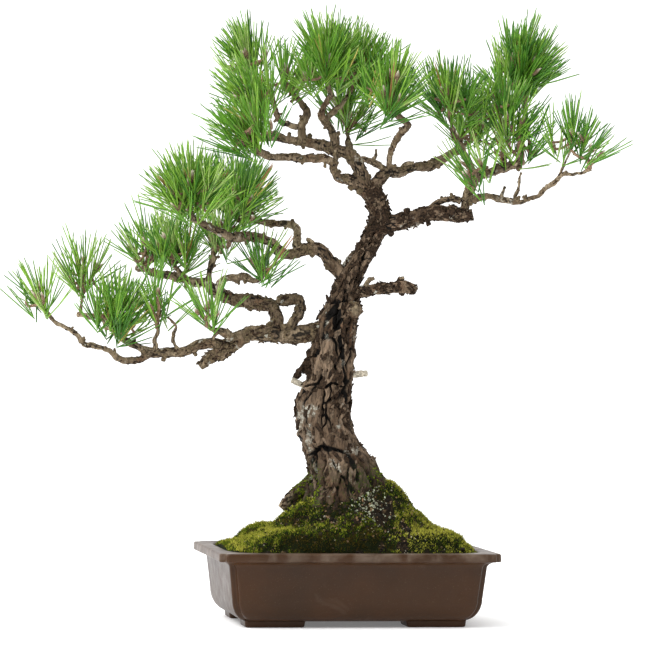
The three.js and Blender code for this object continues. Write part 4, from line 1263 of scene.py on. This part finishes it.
def side_profile():
    """How far each ring of the side stands in from the rim, and its height."""
    under_rim = RIM_TOP - RIM_THICKNESS
    rows = [(WALL_INSET + BELLY_INSET + FOOT_CURVE_INSET + UNDERSIDE_INSET, POT_UNDERSIDE)]
    for angle in np.linspace(0, math.pi / 2, 12):
        inset = WALL_INSET + BELLY_INSET + FOOT_CURVE_INSET * (1 - math.sin(angle))
        rows.append((inset, POT_UNDERSIDE + (FOOT_CURVE_TOP - POT_UNDERSIDE) * (1 - math.cos(angle))))
    for share in np.linspace(0.15, 1, 7):
        height = FOOT_CURVE_TOP + share * (under_rim - COVE_HEIGHT - FOOT_CURVE_TOP)
        rows.append((WALL_INSET + BELLY_INSET * (1 - share), height))
    for angle in np.linspace(0, math.pi / 2, 8)[1:]:
        inset = COVE_OVERHANG + (WALL_INSET - COVE_OVERHANG) * math.cos(angle)
        rows.append((inset, under_rim - COVE_HEIGHT * (1 - math.sin(angle))))
    for angle in np.linspace(-math.pi / 2, 0, 5)[1:]:
        inset = LIP_ROUNDING * (1 - math.cos(angle))
        rows.append((inset, under_rim + LIP_ROUNDING * (1 + math.sin(angle))))
    rows.append((RIM_DRAFT, RIM_TOP - 4))
    for angle in np.linspace(0, math.pi / 2, 6):
        inset = RIM_DRAFT + RIM_ROUNDING * (1 - math.cos(angle))
        rows.append((inset, RIM_TOP - RIM_ROUNDING * (1 - math.sin(angle))))
    return rows


def foot_block(sign_x, sign_y):
    """A low foot at one corner, set back from the rim and let into the underside."""
    x, y = RIM_LENGTH / 2 - FOOT_INSET, RIM_DEPTH / 2 - FOOT_INSET
    outlines = []
    for inset, _ in FOOT_RINGS:
        near = [x - FOOT_LENGTH + inset + 1, y - FOOT_DEPTH + inset + 1]
        far = [x - inset - 1, y - inset - 1]
        square = [near, [far[0], near[1]], far, [near[0], far[1]]]
        if sign_x * sign_y < 0:
            square.reverse()
        outlines.append(rounded_corners(square, FOOT_CORNER, 5) * [sign_x, sign_y])
    return closed_tube(level_rings(outlines, [z for _, z in FOOT_RINGS]))


def make_pot():
    """One skin from the underside over the rim into the cavity, a little uneven, and the four feet."""
    rows = side_profile()
    outlines = [finer_ring(notched_ring(inset)) for inset, _ in rows]
    angle = np.arctan2(outlines[-1][:, 1], outlines[-1][:, 0])
    for inset, _ in CAVITY_RINGS:
        reach = cavity_reach(angle, RIM_TOP) - inset
        outlines.append(np.stack([reach * np.cos(angle), reach * np.sin(angle)], -1))
    points, faces = closed_tube(level_rings(outlines, [z for _, z in [*rows, *CAVITY_RINGS]]))
    wave = points.copy()
    points[:, :2] += CLAY_WAVE * np.stack([noise(wave, 45, 3), noise(wave, 45, 4)], -1)
    points[:, 2] += CLAY_WAVE_UP * noise(wave, 60, 5) * (points[:, 2] > POT_UNDERSIDE + 1)
    collected = Collected()
    collected.add(points, faces)
    for side in FEET:
        collected.add(*foot_block(*side))
    piece = collected.piece("pot_clay", clay_paint(), "pot")
    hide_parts("pot", "foot_front_left", "foot_front_right", "foot_back_left", "foot_back_right")


# Soil and moss

def pot_share(x, y):
    """How far out a place on the soil lies: 0 in the middle of the pot and 1 at its inner wall."""
    return np.hypot(x, y) / cavity_reach(np.arctan2(y, x), SOIL_EDGE, SOIL_MARGIN)


def on_level(x, y):
    return np.stack([x, y, np.zeros_like(x)], -1)


def heap_height(x, y):
    """Height of the soil at a place in the pot."""
    share = pot_share(x, y)
    edge = EDGE_RISE * np.sin(math.pi / 2 * np.clip((1 - share) / EDGE_ROLL, 0, 1))
    edge = edge * (1 - LEFT_SINK * smooth((LEFT_EDGE - x) / LEFT_SINK_REACH))
    distance = np.hypot((x - HEAP_MIDDLE) / HEAP_LENGTH, y / HEAP_DEPTH)
    rise = HEAP_RISE + HEAP_LEAN * np.clip(x / HEAP_LEAN_REACH, -1, 1)
    return SOIL_EDGE + edge + rise * smooth((HEAP_START - distance) / HEAP_SPAN)


def moss_cover(x, y):
    """Thickness of the moss at a place, and whether it grows there."""
    flat = on_level(x, y)
    thick = np.zeros_like(x)
    for k, (cx, cy, half_x, half_y, height) in enumerate(CUSHIONS):
        away = np.hypot((x - cx) / half_x, (y - cy) / half_y) + 0.14 * noise(flat, 16, 50 + k)
        thick = np.maximum(thick, height * np.sqrt(np.clip(1 - away ** 5, 0, 1)))
    lumps = 1 + 0.35 * noise(flat, 13, 60)
    bare = np.zeros(x.shape, bool)
    for cx, cy, half_x, half_y in BARE:
        bare |= np.hypot((x - cx) / half_x, (y - cy) / half_y) + 0.3 * noise(flat, 12, 62) < 1
    rim = pot_share(x, y) > 0.93
    elsewhere = noise(flat, 9, 61) > np.select([bare, rim], [-0.28, -0.1], -0.4)
    return thick * lumps, np.maximum((thick > 0.5) & ~bare, elsewhere)


def moss_clumps(x, y):
    """Small hummocks: from -1 in the gaps between them to 1 on their tops."""
    flat = on_level(x, y)
    gap, own = plates(flat / CLUMP_SIZE + 0.35 * rough(flat, 9, 2, 72)[..., None], 73)
    swell = 0.5 * rough(flat, 20, 2, 71)
    return smooth(gap * 2.4) * (0.9 + 0.5 * own) - 0.8 + 0.35 * rough(flat, 4, 2, 70) + swell


def ground_height(x, y):
    """Height of the soil with the cushions of moss and their hummocks."""
    thick, _ = moss_cover(x, y)
    clumps = np.where(thick > 1, CLUMP_RISE, CLUMP_RISE_BARE) * moss_clumps(x, y)
    return heap_height(x, y) + thick + clumps


def ground_normals(x, y, step=1.5):
    """Which way the ground faces, over a smaller or larger step."""
    slope_x = (ground_height(x + step, y) - ground_height(x - step, y)) / (2 * step)
    slope_y = (ground_height(x, y + step) - ground_height(x, y - step)) / (2 * step)
    return unit(np.stack([-slope_x, -slope_y, np.ones_like(x)], -1))


def soil_paint():
    """Dark humus, green where moss covers it."""
    paint = Paint("soil_humus", 0.95, 0.15)
    earth = paint.mix(paint.range(paint.noise(5, 4), 0.35, 0.65), SOIL_DARK, SOIL_BROWN)
    green = darker(MOSS_TONES["green"], 0.25)
    paint.colour(paint.mix(paint.attribute("mossy"), earth, green))
    paint.bump(paint.noise(2, 4), 0.8, 0.0015)
    return paint.material


def make_soil():
    """The heap of soil, with a skirt that reaches down into the pot."""
    rows, columns = 70, 240
    share = np.linspace(1, 0.02, rows)[:, None]
    angle = (np.arange(columns) / columns * 2 * math.pi)[None]
    reach = cavity_reach(angle, SOIL_EDGE, SOIL_MARGIN) * share
    x, y = reach * np.cos(angle), reach * np.sin(angle)
    grid = np.stack([x, y, ground_height(x, y)], -1)
    skirt = grid[:1] - [0, 0, SOIL_SKIRT]
    points, faces = closed_tube(np.concatenate([skirt, grid]))
    mossy = moss_cover(points[:, 0], points[:, 1])[1].astype(float)
    collected = Collected()
    collected.add(points, faces, mossy=mossy)
    piece = collected.piece("soil_heap", soil_paint(), "soil")
    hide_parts("soil", "moss_front_left", "moss_right")


def scattered_places(count, random):
    """Even random places on the soil, up to the pot's inner wall."""
    x = random.uniform(-SOIL_HALF_LENGTH, SOIL_HALF_LENGTH, count * 2)
    y = random.uniform(-SOIL_HALF_DEPTH, SOIL_HALF_DEPTH, count * 2)
    inside = pot_share(x, y) < 0.985
    return x[inside][:count], y[inside][:count]


def moss_stems(x, y, thick, top, random):
    """Short pointed stems of three sides: the corners at the foot of each, and its tip."""
    base = np.stack([x, y, ground_height(x, y) - BLADE_ROOTED], -1)
    height = BLADE_HEIGHT * random.uniform(0.5, 1.2, len(x)) * np.where(thick > 2, 1, 0.75)
    height = height * (1 + 0.25 * top)
    way = unit(ground_normals(x, y) + [0, 0, 0.35] + random.normal(0, 0.3, base.shape))
    tip = base + way * height[:, None]
    angle = random.uniform(0, 2 * math.pi, len(x))[:, None] + np.arange(3) / 3 * 2 * math.pi
    width = random.uniform(0.35, 0.75, len(x))[:, None]
    ring = base[:, None] + np.stack([np.cos(angle) * width, np.sin(angle) * width, 0 * angle], -1)
    return np.concatenate([ring, tip[:, None]], 1)


def moss_moods(x, y, top, random):
    """How pale each stem is: palest on hummocks and level ground as painted light, darker on steep faces and
    in the gap in front as painted shade, and pale on the right-hand cushion, whose moss is paler.
    """
    # Painted light: paler on the tops of hummocks; the noise and the random part are the moss's own change
    mood = 0.5 * noise(on_level(x, y), 24, 80) + 0.55 * top + random.normal(0, 0.26, len(x))
    # Painted shade on the ground in front of the trunk
    shaded = smooth((x + 22) / 14) * smooth((36 - x) / 14) * smooth((-62 - y) / 12)
    upright = ground_normals(x, y, 7)[:, 2]
    mood = mood + 0.85 * smooth((x - 34) / 20) + 0.1 * smooth((-60 - x) / 20) - 0.12 * shaded
    # Painted light and shade: paler where the ground lies level, darker on its steep faces
    return mood + 1.3 * (upright - 0.78)


def make_moss():
    """Stems of moss on the cushions and the ground, in four tones."""
    random = np.random.default_rng(MOSS_SEED)
    x, y = scattered_places(BLADE_COUNT * 2, random)
    thick, grows = moss_cover(x, y)
    kept = grows & (random.uniform(0, 1, len(x)) < np.where(thick > 2, 0.95, 0.7))
    x, y, thick = x[kept][:BLADE_COUNT], y[kept][:BLADE_COUNT], thick[kept][:BLADE_COUNT]
    top = moss_clumps(x, y)
    stems = moss_stems(x, y, thick, top, random)
    # Each stem's tone carries painted light and shade as well as the moss's own colours
    mood = moss_moods(x, y, top, random)
    tones = np.select([mood < limit for limit, _ in MOSS_MOODS], [tone for _, tone in MOSS_MOODS], "yellow")
    for tone, colour in MOSS_TONES.items():
        chosen = stems[tones == tone]
        collected = Collected()
        collected.add(chosen, copies(np.array([[0, 1, 3], [1, 2, 3], [2, 0, 3]]), *chosen.shape[:2]))
        paint = speckled_paint("moss_" + tone, colour, 0.55, 2.5, 0.95, 0.08)
        collected.piece("moss_" + tone, paint, "moss")


def icosahedron():
    """The plain shape of a grain: its corners and faces."""
    golden = (1 + math.sqrt(5)) / 2
    points = []
    for a, b in itertools.product((-1, 1), (-golden, golden)):
        points += [[0, a, b], [a, b, 0], [b, 0, a]]
    points = unit(np.array(points, float))
    faces = []
    for i, j, k in itertools.combinations(range(GRAIN_CORNERS), 3):
        sides = [np.linalg.norm(points[a] - points[b]) for a, b in ((i, j), (j, k), (k, i))]
        if max(sides) < 1.1:
            outward = np.dot(np.cross(points[j] - points[i], points[k] - points[i]), points[i]) > 0
            faces.append([i, j, k] if outward else [i, k, j])
    return points, np.array(faces)


def make_grains():
    """Grit and crumbs of humus on the bare soil."""
    random = np.random.default_rng(GRAIN_SEED)
    x, y = scattered_places(GRAIN_COUNT * 3, random)
    _, grows = moss_cover(x, y)
    kept = ~grows | (random.uniform(0, 1, len(x)) < 0.05)
    x, y = x[kept][:GRAIN_COUNT], y[kept][:GRAIN_COUNT]
    middle = np.stack([x, y, ground_height(x, y) + 0.2], -1)
    size = 0.5 + random.gamma(2.0, 0.4, len(x))
    shape, faces = icosahedron()
    jitter = random.uniform(0.7, 1.2, (len(x), GRAIN_CORNERS, 1))
    squash = random.uniform(0.4, 1.3, (len(x), 1, 3))
    points = middle[:, None] + shape[None] * jitter * squash * size[:, None, None]
    near = np.hypot(x - PALE_GRIT_HEART[0], y - PALE_GRIT_HEART[1]) < PALE_GRIT_REACH
    draw = random.uniform(0, 1, len(x))
    pale = draw < np.where(near, PALE_SHARE_NEAR, PALE_SHARE_FAR)
    tones = np.select([pale, draw < TAN_SHARE], ["pale", "tan"], "dark")
    for tone, colour in GRAIN_TONES.items():
        chosen = points[tones == tone]
        collected = Collected()
        collected.add(chosen, copies(faces, *chosen.shape[:2]))
        paint = speckled_paint("grit_" + tone, colour, 0.6, 1.5, 0.9, 0.2)
        collected.piece("grit_" + tone, paint, "soil", shade_smooth=False)


def make_litter():
    """Chips of bark, bits of lichen and pale crumbs on the ground below the trunk."""
    random = np.random.default_rng(LITTER_SEED)
    for name, colour, count, middle, spread, size in LITTER:
        x = middle[0] + random.normal(0, spread[0], count)
        y = middle[1] + random.normal(0, spread[1], count)
        inside = pot_share(x, y) < 0.96
        x, y = x[inside], y[inside]
        place = np.stack([x, y, ground_height(x, y) + 0.8], -1)
        normal = unit(ground_normals(x, y) + random.normal(0, 0.3, place.shape))
        along = unit(np.cross(normal, random.normal(0, 1, place.shape)))
        length = size * random.uniform(0.5, 1.4, len(x))
        collected = Collected()
        collected.add(*scales(place, along, normal, length, random, width=0.7, thickness=0.14))
        paint = speckled_paint(name, colour, 0.6, 2, 0.9, 0.2)
        collected.piece(name, paint, "soil", shade_smooth=False)


# Tree

def make_bark():
    """The bark of the trunk and roots as one piece, and that of all the boughs as another."""
    trunk, boughs = limb_surfaces()
    collected = Collected()
    for surface in trunk:
        surface.add_to(collected, above=GROUND_CUT - 24)
    piece = collected.piece("trunk_bark", bark_paint("trunk_bark", 0.6, True), "bark")
    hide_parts("trunk")
    collected = Collected()
    for surface in boughs.values():
        surface.add_to(collected)
    piece = collected.piece("bough_bark", bark_paint("bough_bark", 0.62, False), "bark")
    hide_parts(*[name for name in LIMBS if name != "loop_limb"])
    return trunk, boughs


def make_pegs():
    """Two pale stubs of bare wood, cut square."""
    collected = Collected()
    for k, way in enumerate(PEGS.values()):
        points, radii = on_limb(way, np.linspace(0, 1, 40))
        line, radii, _ = even_line(points, radii, 1.2)
        radii[-1] *= 0.86
        add_twig(collected, line, radii, 14, PEG_SEED + k)
    collected.piece("pale_pegs", speckled_paint("bare_wood", PEG, 0.72, 3, 0.8), "deadwood")


def on_lichen_patch(middle):
    """Where crusts of lichen stand off the bark."""
    return (lichen_share(middle) > 0.55) | (noise(middle, 5, 92) > 0.86)


def add_flap(collected, random):
    """Flakes that hang together down and away from the trunk."""
    middle = np.repeat(seen(np.array(FLAP, float)), 3, 0)
    count = len(middle)
    middle = middle + random.normal(0, 1.1, (count, 3))
    along = unit(np.array([-0.5, 0.1, -0.8]) + random.normal(0, 0.35, (count, 3)))
    out = np.array([-0.6, -0.7, 0.4]) + random.normal(0, 0.4, (count, 3))
    normal = unit(out - along * np.sum(out * along, 1, keepdims=True))
    length = random.uniform(8, 17, count)
    add_scales(collected, middle, along, normal, length, random, width=0.6, thickness=0.1)


def is_shaggy(middle):
    """The fork and the right edge of the trunk, where the bark comes off in loose flakes."""
    across, height = middle[:, 0], middle[:, 2]
    low, high = SHAGGY_EDGE
    edge = (across > -14 + 0.16 * np.abs(height - 300)) & (height > low) & (height < high)
    return ((height > SHAGGY_FORK) | (edge & (noise(middle, 14, 93) > -0.1))) & off_fissures(middle)


def off_fissures(middle):
    return fissure_share(middle) < 0.3


def add_stubs(collected, surface, random):
    """Short knobby stubs where twigs were pruned."""
    count = int(surface.marks[-1] / STUB_SPACING)
    rows = random.integers(4, len(surface.line) - 4, count)
    columns = random.integers(0, surface.columns, count)
    for row, column in zip(rows, columns):
        out = unit(surface.out[row, column] + surface.ahead[row] * random.uniform(-0.2, 0.7) + [0, 0, 0.2])
        radius = surface.radii[row]
        reach = radius * random.uniform(0.9, 1.2) + random.uniform(1.5, 5)
        line = surface.line[row] + out * np.linspace(0.5 * radius, reach, 5)[:, None]
        line = line + random.normal(0, 0.35, line.shape)
        thickness = random.uniform(0.26, 0.42) * radius + 0.6
        radii = thickness * np.array([1.3, 1.1, 0.95, 1.0, 0.75])
        add_twig(collected, line, radii, 7, int(row) * 31 + int(column))


def is_damp(middle):
    return damp_share(middle) * (1.1 + 0.9 * rough(middle, 12, 2, 96)) > 0.6


def in_clusters(middle):
    return noise(middle, 9, 95) > -0.05


def scale_trunk(tones, trunk, random):
    """Scales and lichen on the trunk, scales on its roots, and moss on the damp foot of both."""
    for label, count, size, lift, where, width, thickness in TRUNK_SCALES:
        keep = is_shaggy if where == "shaggy" else off_fissures
        sheet = scales_on(trunk[0], count, size, lift, random, keep)
        add_scales(tones[label], *sheet, random, width=width, thickness=thickness)
    for root in trunk[1:]:
        sheet = scales_on(root, ROOT_SCALES, 8, 0.16, random)
        add_scales(tones["dark"], *sheet, random, width=0.4, thickness=0.1)
    for surface in trunk:
        count = TRUNK_MOSS if surface is trunk[0] else ROOT_MOSS
        sheet = scales_on(surface, count, 3, 0.9, random, is_damp)
        add_scales(tones["moss"], *sheet, random, width=0.45, thickness=0.14)
    sheet = scales_on(trunk[0], LICHEN_CRUSTS, 2.6, 0.1, random, on_lichen_patch)
    add_scales(tones["lichen"], *sheet, random, width=0.9, thickness=0.12)


def scale_boughs(tones, boughs, random):
    """Scales on every bough, more and looser ones where it is shaggy, and its pruned stubs."""
    for name, surface in boughs.items():
        length, thick = surface.marks[-1], surface.radii.mean()
        shaggy = SHAGGINESS if name in SHAGGY_BOUGHS else 1
        for label, density in BOUGH_SCALES:
            if label == "bough" and name in DARK_BOUGHS:
                label = "dark"
            count = int(length * density * (thick / 7) ** 1.3 * shaggy)
            sheet = scales_on(surface, count, 2.4 + 0.55 * thick, 0.14 * shaggy ** 1.4, random, in_clusters)
            add_scales(tones[label], *sheet, random, width=0.5, thickness=0.1)
    for name in LIMBS:
        add_stubs(tones["dark" if name in DARK_BOUGHS else "bough"], boughs[name], random)


def make_scales(trunk, boughs):
    """Loose scales of bark in three browns, crusts of lichen, and moss on the bark."""
    random = np.random.default_rng(SCALE_SEED)
    tones = {label: Collected() for label in ("dark", "tan", "bough", "lichen", "moss")}
    scale_trunk(tones, trunk, random)
    scale_boughs(tones, boughs, random)
    add_flap(tones["dark"], random)
    paints = {
        "dark": speckled_paint("scale_dark", darker(BARK_MID, 0.8), 0.4, 2.5, 0.9, 0.15),
        "tan": speckled_paint("scale_tan", darker(BARK_PALE, 0.85), 0.6, 2.5, 0.9, 0.15),
        "bough": speckled_paint("scale_bough", BOUGH_MID, 0.6, 3, 0.9, 0.15),
        "lichen": speckled_paint("lichen_crust", LICHEN, 0.7, 1.5, 0.95),
        "moss": speckled_paint("moss_on_bark", MOSS_TONES["olive"], 0.4, 3, 0.95, 0.08),
    }
    for label, collected in tones.items():
        collected.piece("scales_" + label, paints[label], "bark", shade_smooth=False)


def tones_of_needles(order, tip, count, random):
    """The tone of each needle: painted light makes it brighter on sprays high up, outside and on the crown's
    left, painted shade makes it darker on its right, and it changes from pair to pair.
    """
    height = (tip[2] - CROWN_FOOT) / CROWN_RISE
    side = 0.6 * (tip[0] < SUNNY_SIDE) - 0.3 * (tip[0] > SHADY_SIDE)
    # Painted light and shade: brighter with height and on the left, darker on the finer shoots and on the
    # right, with a random change
    mood = 1.0 + 0.8 * height - 0.3 * (order > 0) + side + random.normal(0, 0.75)
    steps = np.repeat(mood + random.normal(0, 0.6, count // 2), 2)
    steps = np.clip(np.round(steps), 0, len(TONE_STEPS) - 1).astype(int)
    draw = np.repeat(random.uniform(0, 1, count // 2), 2)
    aged = [draw < RUST_SHARE, draw < RUST_SHARE + STRAW_SHARE]
    return np.select(aged, ["rust", "straw"], np.array(TONE_STEPS)[steps])


def add_shoot_twig(twigs, root, tip, axis, order, number):
    """The twig that carries one shoot, with a slight sag."""
    line = bezier(root, (root + tip) / 2 - axis * TWIG_SAG, tip, np.linspace(0, 1, 10))
    radii = np.linspace(TWIG_START if order == 0 else TWIG_END, TWIG_TIP, 10)
    line, radii, marks = even_line(line, radii, TWIG_RING_GAP)
    add_twig(twigs, crooked(line, marks, number), radii, TWIG_SIDES, number)


def add_buds(buds, tip, axis, vigour, order, random):
    """One to three winter buds on a main shoot, and at most one on a finer one."""
    size = min(1, 0.55 + 0.5 * vigour)
    for _ in range(random.integers(1, 4) if order == 0 else random.integers(0, 2)):
        lean = unit(axis + random.normal(0, 0.22, 3))
        length = size * random.uniform(*BUD_LENGTHS)
        add_bud(buds, tip + axis, lean, length, size * random.uniform(*BUD_RADII))


def make_foliage():
    """Twigs, buds and needles of every shoot, the needles gathered by tone."""
    twigs, buds = Collected(), Collected()
    needles = {tone: Collected() for tone in NEEDLE_TONES}
    for number, (root, tip, axis, vigour, wide, order) in enumerate(all_shoots()[1]):
        random = np.random.default_rng(SHOOT_SEED + number)
        add_shoot_twig(twigs, root, tip, axis, order, number)
        axis = unit(axis + [0, 0, UPTURN])
        add_buds(buds, tip, axis, vigour, order, random)
        sheaf = needles_of(tip, axis, vigour, wide, random)
        tones = tones_of_needles(order, tip, len(sheaf[0]), random)
        for label in sorted(set(tones)):
            add_needles(needles[label], *[part[tones == label] for part in sheaf])
    twig_piece = twigs.piece("twigs", speckled_paint("twig_bark", TWIG, 0.6, 2.2, 0.85), "bark")
    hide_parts(*MASSES)
    buds.piece("buds", bud_paint(), "bark")
    for tone, collected in needles.items():
        collected.piece("needles_" + tone, needle_paint(tone), "foliage")


# Stage

def make_floor():
    """A wide pale floor with a faint glow."""
    mesh = bpy.data.meshes.new("floor")
    side = FLOOR_REACH
    corners = [(-side, -side, 0), (side, -side, 0), (side, side, 0), (-side, side, 0)]
    mesh.from_pydata(corners, [], [(0, 1, 2, 3)])
    paint = Paint("pale_floor", 0.9, 0.1)
    paint.colour(paint.mix(paint.range(paint.noise(400, 2), 0.4, 0.6), *FLOOR_WHITES))
    paint.shader.inputs["Emission Color"].default_value = (1, 1, 1, 1)
    paint.shader.inputs["Emission Strength"].default_value = FLOOR_GLOW
    mesh.materials.append(paint.material)
    floor = bpy.data.objects.new("floor", mesh)
    bpy.context.scene.collection.objects.link(floor)


def make_camera():
    """Level with the middle of the tree, and a little to the left of the pot's front."""
    turn = math.radians(TREE_TURN)
    forward = Vector((math.sin(-turn), math.cos(turn), 0))
    right = Vector((math.cos(turn), math.sin(turn), 0))
    up = Vector((0, 0, 1))
    roll = math.radians(VIEW_ROLL)
    right, up = right * math.cos(roll) + up * math.sin(roll), up * math.cos(roll) - right * math.sin(roll)
    place = to_object([VIEW_ACROSS, -VIEW_DISTANCE, VIEW_HEIGHT]) + POT_MIDDLE
    data = bpy.data.cameras.new("camera")
    data.sensor_width = SENSOR
    data.sensor_fit = "HORIZONTAL"
    data.lens = SENSOR * VIEW_DISTANCE / (PHOTO_SIDE * PIXEL)
    data.clip_end = 50
    camera = bpy.data.objects.new("camera", data)
    rotation = Matrix((right, up, -forward)).transposed().to_4x4()
    camera.matrix_world = Matrix.Translation(Vector(place / 1000)) @ rotation
    bpy.context.scene.collection.objects.link(camera)
    bpy.context.scene.camera = camera


def make_light(name, place, aim, size, power):
    """A round soft lamp."""
    data = bpy.data.lights.new(name, "AREA")
    data.shape = "DISK"
    data.size = size
    data.energy = power
    lamp = bpy.data.objects.new(name, data)
    direction = Vector(aim) - Vector(place)
    lamp.matrix_world = (
        Matrix.Translation(Vector(place)) @ direction.to_track_quat("-Z", "Y").to_matrix().to_4x4())
    bpy.context.scene.collection.objects.link(lamp)


def make_world():
    """A white tent: bright behind, above and on the left, and dim on the camera's side."""
    world = bpy.data.worlds.new("studio")
    world.use_nodes = True
    nodes, links = world.node_tree.nodes, world.node_tree.links
    toward = nodes.new("ShaderNodeVectorMath")
    toward.operation = "DOT_PRODUCT"
    toward.inputs[1].default_value = TENT_WAY
    links.new(nodes.new("ShaderNodeTexCoord").outputs["Generated"], toward.inputs[0])
    tent = nodes.new("ShaderNodeMapRange")
    tent.inputs["From Min"].default_value = TENT_FROM
    tent.inputs["From Max"].default_value = TENT_TO
    tent.inputs["To Min"].default_value = TENT_DIM
    tent.inputs["To Max"].default_value = TENT_BRIGHT
    links.new(toward.outputs["Value"], tent.inputs["Value"])
    background = nodes["Background"]
    background.inputs["Color"].default_value = (1, 1, 1, 1)
    links.new(tent.outputs["Result"], background.inputs["Strength"])
    bpy.context.scene.world = world


def make_studio():
    """The tent, a broad light from above and a soft one from the left."""
    make_world()
    bpy.context.scene.view_settings.view_transform = "Standard"
    sun = bpy.data.lights.new("soft_top", "SUN")
    sun.energy = TOP_LIGHT
    sun.angle = math.radians(TOP_LIGHT_SPREAD)
    lamp = bpy.data.objects.new("soft_top", sun)
    lamp.rotation_euler = Vector(TOP_LIGHT_WAY).to_track_quat("-Z", "Y").to_euler()
    bpy.context.scene.collection.objects.link(lamp)
    make_light("key", KEY_LIGHT_PLACE, KEY_LIGHT_AIM, KEY_LIGHT_SIZE, KEY_LIGHT)


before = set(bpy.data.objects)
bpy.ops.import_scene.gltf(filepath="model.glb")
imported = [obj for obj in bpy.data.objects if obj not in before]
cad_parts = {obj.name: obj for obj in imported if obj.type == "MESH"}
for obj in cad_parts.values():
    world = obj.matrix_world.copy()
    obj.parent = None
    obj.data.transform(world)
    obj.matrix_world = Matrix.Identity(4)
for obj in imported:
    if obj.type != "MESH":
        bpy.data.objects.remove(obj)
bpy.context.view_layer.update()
pot_low, pot_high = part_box("pot")
POT_MIDDLE = np.array([(pot_low.x + pot_high.x) * 500, (pot_low.y + pot_high.y) * 500, 0])
make_camera()
make_studio()
make_floor()
make_pot()
make_soil()
make_moss()
make_grains()
make_litter()
trunk_skin, bough_skins = make_bark()
make_pegs()
make_scales(trunk_skin, bough_skins)
make_foliage()
